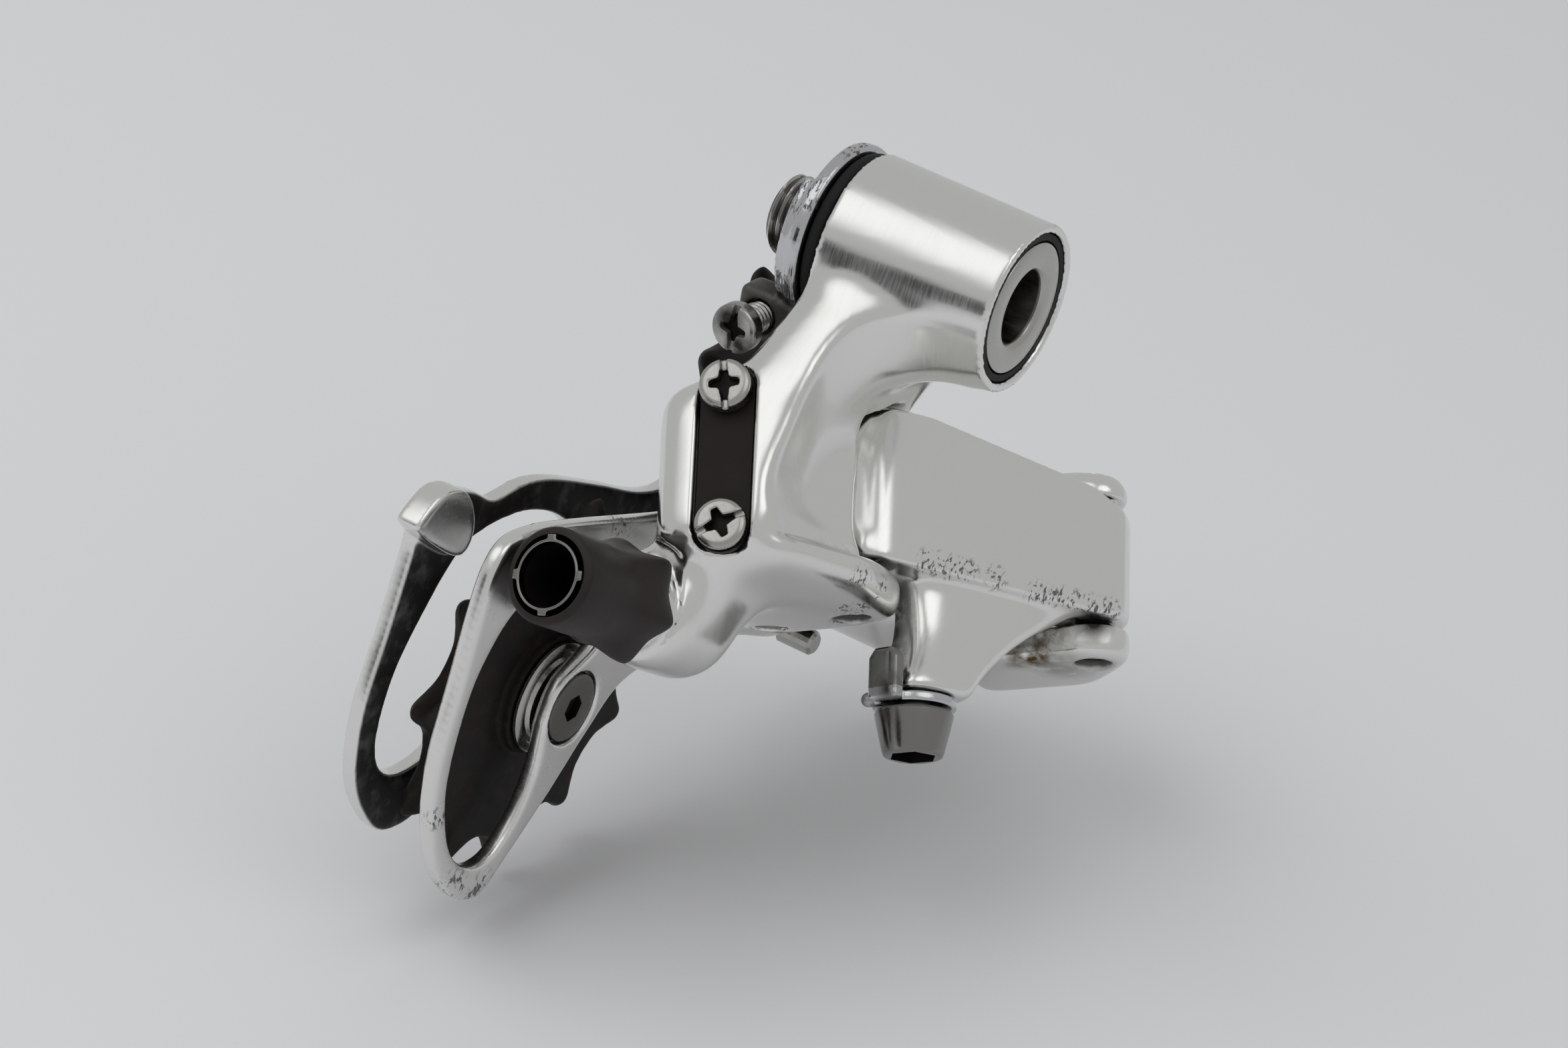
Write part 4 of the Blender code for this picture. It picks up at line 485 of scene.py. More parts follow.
def bend(before, start, end, after, steps):
    """Points of a smooth curve from start up to end, led by the points on either side."""
    return [0.5 * (2 * start + (end - before) * t
                   + (2 * before - 5 * start + 4 * end - after) * t ** 2
                   + (3 * start - before - 3 * end + after) * t ** 3)
            for t in (step / steps for step in range(steps))]


def smooth_path(points, steps):
    """A smooth open curve through a few points."""
    ends = [2 * points[0] - points[1], *points, 2 * points[-1] - points[-2]]
    fours = zip(ends, ends[1:], ends[2:], ends[3:])
    return [*(point for four in fours for point in bend(*four, steps)), points[-1]]


def smooth_loop(points, steps=8):
    """A closed smooth curve through a few points."""
    ring = [Vector(point) for point in points]
    fours = zip(ring[-1:] + ring, ring, ring[1:] + ring[:1], ring[2:] + ring[:2])
    return [tuple(point) for four in fours for point in bend(*four, steps)]


def smooth_loft(sections, across=6, along=10):
    """A body through a few outlines, smooth both across and along."""
    rings = [[Vector(point) for point in smooth_loop(section, across)] for section in sections]
    paths = [smooth_path(list(points), along) for points in zip(*rings)]
    return loft(list(zip(*paths)))


def block(low, high):
    """A plain block between two corners."""
    outline = [(low[0], low[1]), (high[0], low[1]), (high[0], high[1]), (low[0], high[1])]
    return prism(outline, low[2], high[2])


def hexagon(flats):
    """The outline of a hexagon of this width across flats."""
    reach = flats / math.sqrt(3)
    return [polar(reach, math.tau * i / 6) for i in range(6)]


def stadium(half_length, radius, steps=24):
    """A slot's outline along x with round ends."""
    turns = [math.pi * (i / steps - 0.5) for i in range(steps + 1)]
    return [(side * (half_length + radius * math.cos(t)), side * radius * math.sin(t))
            for side in (1, -1) for t in turns]


def merged(*bodies):
    """Several bodies in one mesh."""
    whole = bmesh.new()
    for body in bodies:
        part = bpy.data.meshes.new("part")
        body.to_mesh(part)
        body.free()
        whole.from_mesh(part)
        bpy.data.meshes.remove(part)
    return whole


def moved(bm, matrix):
    """A body carried from one frame into another."""
    bmesh.ops.transform(bm, matrix=matrix, verts=bm.verts)
    return bm


def raw(bm):
    """A body as a working object, in millimetres."""
    mesh = bpy.data.meshes.new("work")
    bm.to_mesh(mesh)
    bm.free()
    obj = bpy.data.objects.new("work", mesh)
    bpy.context.scene.collection.objects.link(obj)
    return obj


def carved(voxel, body, *steps):
    """A body after its steps: a count joins its skin and rounds it, and a list of bodies is cut away."""
    obj = raw(body)
    used = [obj]
    for step in steps:
        if isinstance(step, int):
            skin = obj.modifiers.new("Skin", "REMESH")
            skin.mode = "VOXEL"
            skin.voxel_size = voxel / MM
            if step:
                rounding = obj.modifiers.new("Rounding", "SMOOTH")
                rounding.iterations = step
                rounding.factor = 0.5
            continue
        for tool in step:
            boolean = obj.modifiers.new("Cut", "BOOLEAN")
            boolean.operation = "DIFFERENCE"
            boolean.solver = "MANIFOLD"
            boolean.object = raw(tool)
            used.append(boolean.object)
    evaluated = obj.evaluated_get(bpy.context.evaluated_depsgraph_get())
    bm = bmesh.new()
    bm.from_mesh(evaluated.to_mesh())
    evaluated.to_mesh_clear()
    for mesh in [item.data for item in used]:
        bpy.data.meshes.remove(mesh)
    return bm


def piece(name, data, body, nodes, slot, *looks):
    """Store a mesh or a curve as a piece of the object, in place of its CAD nodes."""
    for look in looks:
        data.materials.append(finish(look))
    obj = bpy.data.objects.new(name, data)
    bpy.context.scene.collection.objects.link(obj)
    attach(obj, body)
    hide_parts(*nodes)


def show(name, bm, place, body, nodes, slot, *looks, sharp=None, wear_and_shade=()):
    """Turn a body in millimetres into a piece's mesh, with its marks painted on it: scuffs, oil, and dark
    marks of dirt and painted shade.
    """
    moved(bm, Matrix.Scale(MM, 4) @ place)
    mesh = bpy.data.meshes.new(name)
    bm.to_mesh(mesh)
    bm.free()
    mesh.shade_smooth()
    if sharp:
        mesh.set_sharp_from_angle(angle=math.radians(sharp))
    for mark, spots in wear_and_shade:
        paint(mesh, mark, [(place @ Vector(spot), reach) for *spot, reach in spots])
    piece(name, mesh, body, nodes, slot, *looks)


def refinish(bm, inside):
    """Give the second finish to the faces whose middles pass the test."""
    for item in bm.faces:
        item.material_index = int(inside(item.calc_center_median()))
    return bm


def paint(mesh, mark, spots):
    """Store on each vertex how near it is to a few places: 1 there and 0 from their reach on."""
    points = np.empty(len(mesh.vertices) * 3)
    mesh.vertices.foreach_get("co", points)
    points = points.reshape(-1, 3) / MM
    near = np.zeros(len(points))
    for spot, reach in spots:
        away = np.linalg.norm(points - np.array(spot), axis=1)
        near = np.maximum(near, 1 - away / reach)
    layer = mesh.attributes.new(mark, "FLOAT", "POINT")
    layer.data.foreach_set("value", np.clip(near, 0, 1))


def shade(tone, share):
    """A colour made darker or lighter."""
    return (*(share * part for part in tone[:3]), 1)


def feed(item, inputs):
    """Put values or links into a node's inputs, given in their order or by key."""
    for key, value in inputs.items() if isinstance(inputs, dict) else enumerate(inputs):
        if isinstance(value, bpy.types.NodeSocket):
            item.id_data.links.new(value, item.inputs[key])
        else:
            item.inputs[key].default_value = value


def node(tree, kind, inputs=(), output=0, **settings):
    """Add a node with its settings, values and links, and give back one of its outputs."""
    item = tree.nodes.new(f"ShaderNode{kind}")
    for name, value in settings.items():
        setattr(item, name, value)
    feed(item, inputs)
    return item.outputs[output]


def new_material(name):
    """A material with its node tree and its Principled shader."""
    material = bpy.data.materials.new(f"real_{name}")
    material.use_nodes = True
    return material, material.node_tree, material.node_tree.nodes["Principled BSDF"]


def millimetres(tree):
    """Places on the object in millimetres."""
    place = node(tree, "TexCoord", output="Object")
    return node(tree, "VectorMath", {0: place, "Scale": 1 / MM}, operation="SCALE")


def metal(tint, name, base, roughness, spread, streaks, patch, dirt=0.0, greasy=False):
    """A worn metal: cloudy shine, fine streaks, and scuffs, dark dirt with painted shade, and oil where they
    are painted.

    A greasy one is black with chain grease on its outboard face, with polished edges.
    """
    _, tree, shader = new_material(name)
    add = partial(node, tree)
    place = millimetres(tree)
    even, slanted = (1, 1, 1), (2.6, 1.1, 0.7)
    # Each pattern's stretch along the axes, size in millimetres, detail and roughness
    cloud, lines, specks, strokes, blotch = (
        add("TexNoise", {"Vector": add("VectorMath", (place, stretch), operation="MULTIPLY"),
                         "Scale": 1 / size, "Detail": detail, "Roughness": rough})
        for stretch, size, detail, rough in (
            (even, patch, 3.0, 0.55), (streaks, 1.0, 2.0, 0.55), (even, 0.35, 4.0, 0.7),
            (slanted, 0.8, 3.0, 0.6), (even, 2.6, 4.0, 0.65)))
    # What paint stored on the mesh, broken up by the patterns
    scuffed, grimed_and_shaded, oiled = (add("Attribute", output="Fac", attribute_name=mark)
                              for mark in ("scuff", "grime_and_shade", "oil"))
    scuff, soil_and_shade, oil = (
        add("Math", (add("MapRange", where), add("MapRange", pattern)), operation="MULTIPLY")
        for where, pattern in (((scuffed, 0.1, 0.5), (strokes, 0.53, 0.58)),
                               ((grimed_and_shaded,), (blotch, 0.2, 0.45, 0.0, 1.3)),
                               ((oiled,), (blotch, 0.35, 0.6, 0.0, 1.4))))
    # Dark mark: real dirt specks, and the painted grime mark, which is partly painted shade
    soil_and_shade = add("Math", (soil_and_shade, add("MapRange", (specks, 0.70, 0.76, 0.0, dirt))), operation="MAXIMUM")
    shine = add("Math", (add("MapRange", (cloud, 0.3, 0.7, roughness - spread, roughness + spread)),
                         add("MapRange", (lines, 0.35, 0.75, -spread / 2, spread))), operation="ADD")
    for dulled in (scuff, soil_and_shade):
        shine = add("Math", (dulled, 0.35, shine), operation="MULTIPLY_ADD")
    tone = tint[base]
    for share, over in ((add("Math", (scuff, 0.85), operation="MULTIPLY"), shade(tone, 0.12)),
                        (oil, tint["oil"]), (soil_and_shade, tint["grime_and_shade"])):
        tone = add("Mix", {0: share, 6: tone, 7: over}, 2, data_type="RGBA")
    bare = add("Math", (soil_and_shade, -0.85, 1.0), operation="MULTIPLY_ADD")
    scratched = add("Math", (scuff, -4.0), operation="MULTIPLY")
    relief = add("Math", (lines, 0.5, scratched), operation="MULTIPLY_ADD")
    if greasy:
        film = add("TexNoise", {"Vector": place, "Scale": 1 / 3.0, "Detail": 5.0, "Roughness": 0.65})
        facing = add("SeparateXYZ", (add("TexCoord", output="Normal"),))
        grease = add("Math", (add("MapRange", (facing, 0.55, 0.9)),
                              add("MapRange", (film, 0.25, 0.5, 0.88, 1.0))), operation="MULTIPLY")
        tone = add("Mix", {0: grease, 6: tone, 7: tint["grease"]}, 2, data_type="RGBA")
        shine, bare = (add("Mix", {0: grease, 2: clean, 3: dirty})
                       for clean, dirty in ((shine, 0.55), (bare, 0.25)))
    feed(shader, {"Base Color": tone, "Roughness": shine, "Metallic": bare, "Normal": add(
        "Bump", {"Height": relief, "Distance": METAL_RELIEF * MM, "Strength": 1.0})})


def moulded(tint, name, base, roughness, sheen, stain=None, stain_share=0.0):
    """A moulded plastic or rubber: cloudy tone and a fine grain."""
    _, tree, shader = new_material(name)
    add = partial(node, tree)
    place = millimetres(tree)
    # Each pattern's size in millimetres, detail and roughness
    cloud, spots, grain = (
        add("TexNoise", {"Vector": place, "Scale": 1 / size, "Detail": detail, "Roughness": rough})
        for size, detail, rough in ((4.0, 5.0, 0.6), (2.2, 5.0, 0.7), (0.25, 3.0, 0.55)))
    tone = add("Mix", {0: add("MapRange", (cloud, 0.35, 0.65)), 6: shade(tint[base], 0.8),
                       7: shade(tint[base], 1.25)}, 2, data_type="RGBA")
    if stain:
        share = add("MapRange", (spots, 0.5, 0.68, 0.0, stain_share))
        tone = add("Mix", {0: share, 6: tone, 7: tint[stain]}, 2, data_type="RGBA")
    shine = add("MapRange", (cloud, 0.3, 0.7, roughness - 0.08, roughness + 0.08))
    feed(shader, {"Base Color": tone, "Roughness": shine, "Specular IOR Level": sheen, "Normal": add(
        "Bump", {"Height": grain, "Distance": MOULDED_RELIEF * MM, "Strength": 1.0})})


def make_finishes():
    """Make the materials of all the pieces."""
    colours = bpy.context.scene.derailleur_colours
    tint = {name: (*getattr(colours, name), 1) for name in ColourSettings.__annotations__}
    # A darker copy of the steel colour, for painted shade
    tint["dull_steel"] = shade(tint["steel"], 0.55)
    fine, rolled = (2.0, 2.0, 2.0), (0.6, 2.0, 2.0)
    # Name, colour, roughness and its spread, streaks, patch size in millimetres, dirt, grease
    for row in (
            # Cold-forged aluminium, buffed to a mirror and lightly clouded by age
            ("polished_aluminium", "aluminium", 0.18, 0.04, (4.0, 0.3, 0.3), 9.0),
            # Stamped aluminium plate, tumbled satin
            ("tumbled_aluminium", "aluminium", 0.24, 0.04, rolled, 6.0, 0.12),
            # The same plate on the chain's side, greasy on its face
            ("greasy_aluminium", "aluminium", 0.24, 0.04, rolled, 6.0, 0.12, True),
            # Chrome plate on steel
            ("chromed_steel", "chrome", 0.12, 0.04, (1.0, 1.0, 1.0), 3.0, 0.15),
            # Nickel plate on steel screws and bolts
            ("nickel_steel", "steel", 0.24, 0.06, fine, 3.0, 0.2),
            # The same plate darkened, as painted shade and painted dark reflections on pieces that sit in
            # shade or face dark surroundings
            ("dull_nickel", "dull_steel", 0.20, 0.05, fine, 3.0, 0.2),
            # Blackened steel of the pulley bolts and the hanger bolt's oily thread
            ("blackened_steel", "dark_steel", 0.34, 0.08, (0.3, 4.0, 4.0), 2.0, 0.8),
            # Spring wire
            ("spring_steel", "steel", 0.30, 0.05, fine, 3.0, 0.3),
            # Sintered bronze
            ("bronze", "bronze", 0.38, 0.06, fine, 3.0, 0.3)):
        metal(tint, *row)
    # Name, colour, roughness, sheen, stain and its share
    for row in (
            # Nitrile rubber
            ("rubber", "rubber", 0.62, 0.3),
            # Blackened sheet steel plate
            ("black_plate", "plate", 0.48, 0.2),
            # Glass-filled nylon, faded grey-brown
            ("nylon", "plastic", 0.45, 0.3),
            # Black in recesses, sockets and bores and on the pins: old grease, and painted shade where shade
            # falls in them
            ("grease", "grease", 0.55, 0.2),
            # Acetal resin with rusty dust
            ("resin", "resin", 0.55, 0.2, "rust", 0.4)):
        moulded(tint, *row)


def finish(name):
    """A piece's material; the first call makes them all."""
    if f"real_{name}" not in bpy.data.materials:
        make_finishes()
    return bpy.data.materials[f"real_{name}"]


class DERAILLEUR_OT_upper_casting(bpy.types.Operator):
    """Build the upper casting with its barrel, arm, block, foot and adjuster boss"""

    bl_idname = "derailleur.upper_casting"
    bl_label = "Upper Casting"

    def execute(self, context):
        shape = context.scene.derailleur_shape
        inner_x, inner_y = INNER_PIN
        rear = (LINKAGE.inverted() @ SLOT.translation).y

        def barrel_ball(along, radius, *off):
            return rebase(ball(*off, along, radius), BOLT, LINKAGE)

        swell = 0.2
        over = 5.0
        barrel = turned([(0, BARREL_START - over), (BARREL_RADII[0] + swell, BARREL_START - over),
                         (BARREL_RADII[0] + swell, BARREL_START), (BARREL_RADII[1] + swell, BARREL_END),
                         (BARREL_RADII[1] + swell, BARREL_END + over), (0, BARREL_END + over)])
        boss = merged(rod(ADJUSTER_BOSS_RADIUS, -12, 0),
                      rod(ADJUSTER_COLLAR_RADIUS + swell, -1, ADJUSTER_COLLAR + 3))
        body = hull(ball(-12.6, rear + 3.4, 17.0, 3.6), ball(-9.0, rear + 3.2, 19.2, 2.6),
                    ball(-13.2, rear + 2.4, 2.0, 2.6),
                    ball(-3.4, rear + 1.4, 2.0, 1.6), ball(1.4, rear + 3.0, 20.0, 2.4),
                    ball(-13.0, -10.5, 18.0, 2.4), ball(-13.0, -10.5, 1.0, 2.4),
                    ball(0.8, -8.6, 22.0, 2.0), ball(0.8, -8.6, 1.0, 2.0))
        arm = hull(ball(-6.4, rear + 3.0, 17.5, 3.0), ball(3.0, rear + 2.6, 18.0, 2.4),
                   ball(-4.0, -15.0, 17.0, 4.0), ball(1.6, -12.0, 18.0, 2.0),
                   barrel_ball(BARREL_START + 4.2, 4.0, -6.4, -1.0),
                   barrel_ball(BARREL_START + 10.0, 5.0, -4.8, -2.0),
                   barrel_ball(BARREL_START + 8.0, 6.0, 2.0, -3.0))
        filler = hull(ball(-4.0, rear + 3.2, 6.0, 2.0), ball(-4.0, -8.6, 6.0, 2.0),
                      ball(4.0, rear + 3.2, 4.6, 2.0), ball(4.2, -8.6, 6.4, 2.0),
                      ball(8.0, rear + 3.4, 22.0, 2.0), ball(9.0, -8.6, 23.0, 2.0),
                      barrel_ball(BARREL_END - 6.5, 5.0, -4.6, -2.6),
                      barrel_ball(BARREL_END - 6.5, 5.0, 2.6, -4.0))
        neck = hull(drum(0, 0, UPPER_EAR_BASE - SPARE, UPPER_EAR_TOP, EAR_RADIUS),
                    drum(inner_x, inner_y, UPPER_EAR_BASE - SPARE, UPPER_EAR_TOP, INNER_EAR_RADIUS),
                    ball(4.0, -10.0, 24.5, 2.4), ball(-9.0, -14.0, 20.5, 2.4),
                    barrel_ball(BARREL_START + 5.0, 4.0, 3.0, -4.0),
                    barrel_ball(BARREL_START + 12.0, 4.0, 3.0, -4.4))
        foot = hull(drum(0, 0, FOOT_BOTTOM, FOOT_TOP + SPARE, EAR_RADIUS),
                    drum(inner_x, inner_y, FOOT_BOTTOM, FOOT_TOP + SPARE, LINK_EAR_RADIUS),
                    ball(-1.2, rear + 3.6, 0.6, 1.8), ball(-12.0, rear + 5.0, -1.0, 2.4),
                    ball(-12.0, -11.0, 1.0, 2.4), ball(4.2, -10.5, 1.2, 1.8))
        brace = hull(rebase(drum(0, 0, -11, -5, 6.2), ADJUSTER, LINKAGE),
                     ball(-9.0, rear + 5.0, 0.0, 3.0), ball(-7.0, -12.0, 1.0, 3.0))
        to_linkage = LINKAGE.inverted()
        limbs = merged(moved(barrel, to_linkage @ BOLT), moved(boss, to_linkage @ ADJUSTER),
                       body, arm, filler, neck, foot, brace)
        scoop = smooth_loft([[(x, y, z) for x, z in section] for y, section in SCOOP_DEPTHS])
        # Bores along the bolt, and room for the stop plate as the casting swings
        clear = 2 * BARREL_RADII[0]
        face = BARREL_RADII[0] + 1.5
        bores = turned([(0, -8), (clear, -8), (clear, STOP_PLATE_THICKNESS + GAP),
                        (face, STOP_PLATE_THICKNESS + GAP), (face, BARREL_START),
                        (SPRING_POCKET, BARREL_START), (SPRING_POCKET, SPRING_POCKET_END),
                        (BUSHING_BORE, SPRING_POCKET_END), (BUSHING_BORE, BOLT_HEAD_BACK - GAP),
                        (HEAD_BORE, BOLT_HEAD_BACK - GAP), (HEAD_BORE, BARREL_END),
                        (clear, BARREL_END), (clear, BARREL_END + 4 * OVERRUN),
                        (0, BARREL_END + 4 * OVERRUN)])
        room = hull(drum(0, 0, FOOT_TOP, UPPER_EAR_BASE, PANEL_FACE + EAR_GAP),
                    drum(inner_x, inner_y, FOOT_TOP, UPPER_EAR_BASE, LINK_EAR_RADIUS + EAR_GAP),
                    drum(-6.0, 20.0, FOOT_TOP, UPPER_EAR_BASE, 22.0))
        pin_holes = [bore(PIN_BORE, FOOT_BOTTOM - OVERRUN, UPPER_EAR_TOP + 3 * OVERRUN, *spot)
                     for spot in ((0, 0), INNER_PIN)]
        slot = moved(prism(stadium(SCREW_SPACING / 2, 3.4), -2.0, 3 * OVERRUN), to_linkage @ SLOT)
        screw_holes = [moved(rod(SCREW_RADIUS + GAP, -15.0, 0), to_linkage @ place)
                       for place in LIMIT_SCREWS.values()]
        seat = turned([(0, ADJUSTER_COLLAR), (ADJUSTER_COLLAR_RADIUS, ADJUSTER_COLLAR),
                       (ADJUSTER_COLLAR_RADIUS, 0), (ADJUSTER_SEAT, 0), (ADJUSTER_SEAT, ADJUSTER_LENGTH),
                       (0, ADJUSTER_LENGTH)])
        seat = moved(seat, to_linkage @ ADJUSTER)
        stud_hole = moved(merged(rod(STUD_RADIUS + GAP, -8.3, 1), rod(ADJUSTER_BORE, 0, 3)),
                          to_linkage @ ADJUSTER)
        holes = [moved(bores, to_linkage @ BOLT), room, *pin_holes, slot, *screw_holes, seat, stud_hole]
        casting = carved(shape.casting_voxel, limbs, shape.casting_rounds, [scoop],
                         shape.crease_rounds, holes, shape.edge_rounds)
        # The grime spots are painted shade with some grime: dark round the outer pin's lower end and in the
        # hollow between the foot and the panel
        wear_and_shade = (("scuff", ((4.7, -11.3, -0.2, 2.6), (1.5, -4.7, -1.4, 3.0), (5.6, -6.0, 0.4, 2.2))),
                ("grime_and_shade", ((0, 0, FOOT_BOTTOM, 3.0), (3.0, -2.0, 4.6, 5.0))))
        show("upper_casting", casting, LINKAGE, "upper", ["b_knuckle"], "polished_aluminium",
             "polished_aluminium", wear_and_shade=wear_and_shade)
        return {"FINISHED"}


def boss_outline(height, near_front, near_back, far, front, back):
    """One section of the cable boss: a box outline with well rounded corners."""
    points = []
    for i in range(ROUND_SIDES):
        t = math.tau * i / ROUND_SIDES
        u, v = (math.copysign(abs(w) ** 0.5, w) for w in (math.cos(t), math.sin(t)))
        near = near_front + (near_back - near_front) * (1 + v) / 2
        points.append((near + (far - near) * (1 + u) / 2, front + (back - front) * (1 + v) / 2, height))
    return points


class DERAILLEUR_OT_outer_link(bpy.types.Operator):
    """Build the outer link with its plain panel and the cable clamp's boss"""

    bl_idname = "derailleur.outer_link"
    bl_label = "Outer Link"

    def execute(self, context):
        shape = context.scene.derailleur_shape
        edge = 0.8
        front = edge - PANEL_FACE
        back = 2.4 - PANEL_FACE - edge
        near, far = edge - 2.2, LINK_LENGTH + 0.6
        low_near, low_far = LINK_BASE + edge, LINK_BASE + edge - 0.4
        top_near, top_far = LINK_TOP_UPPER - edge, LINK_TOP_LOWER - edge
        top_line = [(near, top_near), (7.0, top_near), (far - 2, top_far)]
        low_line = [(near, low_near), (far - 2, low_far)]
        roll = 4.0
        panel = hull(drum(near - edge + roll, roll - PANEL_FACE, LINK_BASE + 0.2, LINK_TOP_UPPER - 0.2, roll),
                     *(ball(s, y, z, edge) for y in (front, back)
                       for s, z in [*top_line[1:], (31.0, 20.9 - edge), *low_line[1:]]),
                     ball(far, back, low_far, edge), ball(far, back, top_far, edge))
        near_ear = hull(drum(0, 0, LINK_BASE, LINK_TOP_UPPER, LINK_EAR_RADIUS),
                        *(ball(s, back, z, edge) for s in (near + 2, 6.5) for z in (low_near, top_near)))
        far_ear = hull(drum(LINK_LENGTH, 0, LINK_BASE - 0.4, LINK_TOP_LOWER, LINK_EAR_RADIUS),
                       *(ball(s, back, z, edge) for s in (LINK_LENGTH - 6, far) for z in (low_far, top_far)))
        flanges = [hull(*(ball(s, y, z + step, edge)
                          for y in (back, 3.0) for s, z in line for step in (0, way)))
                   for line, way in ((top_line, -2), (low_line, 2))]
        clamp_x, clamp_y, _ = OUTER_LINK.inverted() @ CLAMP.translation
        boss = smooth_loft([boss_outline(*section) for section in BOSS_SECTIONS], 1)
        limbs = carved(shape.casting_voxel, merged(near_ear, far_ear, *flanges, boss),
                       shape.casting_rounds // 3)
        holes = [
            *(bore(PIN_BORE, FOOT_BOTTOM - OVERRUN, UPPER_EAR_TOP, s) for s in (0, LINK_LENGTH)),
            bore(CLAMP_BOLT_RADIUS + GAP, CLAMP_FACE - OVERRUN, CLAMP_SHANK + GAP, clamp_x, clamp_y),
            block((clamp_x - 12, clamp_y - 12, CLAMP_FACE - 4), (clamp_x + 12, clamp_y + 12, CLAMP_FACE))]
        link = carved(shape.casting_voxel, merged(limbs, panel), shape.crease_rounds // 4, holes,
                      shape.edge_rounds)
        crease = LINK_BASE + 0.4
        scuffs = [*((s, -5.7, crease + 0.6, 2.2) for s in (6.6, 8.4, 10.2, 12.4, 16.6)),
                  *((s, -5.7, crease, 2.0) for s in (22.6, 24.6, 26.6, 28.6, 30.6, 32.4, 34.2))]
        # The grime spots on the boss's near side are painted shade: they darken the facet that sits in shadow
        wear_and_shade = (("scuff", scuffs), ("grime_and_shade", [(6.4, 1.0, z, 4.0) for z in (3.5, 1.0, -1.5, -4.0, -6.5)]))
        show("outer_link_panel", link, OUTER_LINK, "outer_link", ["outer_link"], "polished_aluminium",
             "polished_aluminium", wear_and_shade=wear_and_shade)
        return {"FINISHED"}


class DERAILLEUR_OT_lower_casting(bpy.types.Operator):
    """Build the lower casting with its ears, spine and the cage axle's housing"""

    bl_idname = "derailleur.lower_casting"
    bl_label = "Lower Casting"

    def execute(self, context):
        shape = context.scene.derailleur_shape
        inner_x, inner_y = INNER_PIN
        ear = LOWER_EAR_RADIUS
        to_lower = LOWER.inverted() @ CAGE
        low, high = HOUSING_ENDS
        housing = moved(rod(HOUSING_RADIUS, low, high), to_lower)
        ends = [[ball(x, y, z, 2.2) for x, y in ((-3, 9.2), (-16, 10.5))]
                for z in (LOWER_FOOT_BOTTOM + 2.2, LOWER_EAR_TOP - 2.2)]
        low_ear = hull(drum(0, 0, LOWER_FOOT_BOTTOM, LOWER_FOOT_TOP + SPARE, ear),
                       drum(inner_x, inner_y, LOWER_FOOT_BOTTOM, LOWER_FOOT_TOP + SPARE, ear), *ends[0])
        top_ear = hull(drum(0, 0, LOWER_EAR_BASE - SPARE, LOWER_EAR_TOP - 2, ear - 0.3),
                       drum(-0.6, 0.6, LOWER_EAR_TOP - 2, LOWER_EAR_TOP, 2.6),
                       drum(inner_x, inner_y, LOWER_EAR_BASE - SPARE, LOWER_EAR_TOP, ear), *ends[1])
        spine = hull(*ends[0], *ends[1])
        bridge = hull(ball(-15, 11.0, LOWER_FOOT_TOP, 3.0), ball(-15, 11.0, LOWER_EAR_BASE, 3.0),
                      rebase(drum(0, 0, 2, high, HOUSING_RADIUS - 2), CAGE, LOWER))
        holes = [moved(rod(*row), to_lower) for row in (
            (HOUSING_RADIUS - 2, low - OVERRUN, high - 3), (AXLE_RADIUS + GAP, 0, high - 1),
            (2 * HOUSING_RADIUS, low - 4 * OVERRUN, low))]
        # The inner pin's bore is blind: a thin skin closes it at the foot
        for place, reach, bore_end in (
                (Vector((0, 0)), PANEL_FACE + EAR_GAP, LOWER_FOOT_BOTTOM - OVERRUN),
                (INNER_PIN, LINK_EAR_RADIUS + EAR_GAP, LOWER_FOOT_BOTTOM + PIN_SKIN)):
            holes += [hull(*(drum(*spot, LOWER_FOOT_TOP, LOWER_EAR_BASE, reach)
                             for spot in (place, place - LINK_STEP.xy))),
                      bore(PIN_BORE, bore_end, LOWER_EAR_TOP + 2 * OVERRUN, *place)]
        casting = carved(shape.casting_voxel, merged(housing, low_ear, top_ear, spine, bridge),
                         shape.casting_rounds, holes, shape.edge_rounds)
        # The oil is a real stain; the grime spots are painted shade with some grime, in the hollows and round
        # the outer pin's lower end
        wear_and_shade = (("oil", ((-7.3, -3.1, 0.6, 5.0), (-5.0, -1.0, 3.6, 6.0))),
                ("grime_and_shade", ((-4.0, 2.0, 4.0, 6.0), (0, 0, LOWER_FOOT_BOTTOM, 3.2),
                           (1.0, -4.0, LOWER_FOOT_TOP, 3.0))))
        show("lower_casting", casting, LOWER, "lower", ["p_knuckle"], "polished_aluminium",
             "polished_aluminium", wear_and_shade=wear_and_shade)
        return {"FINISHED"}


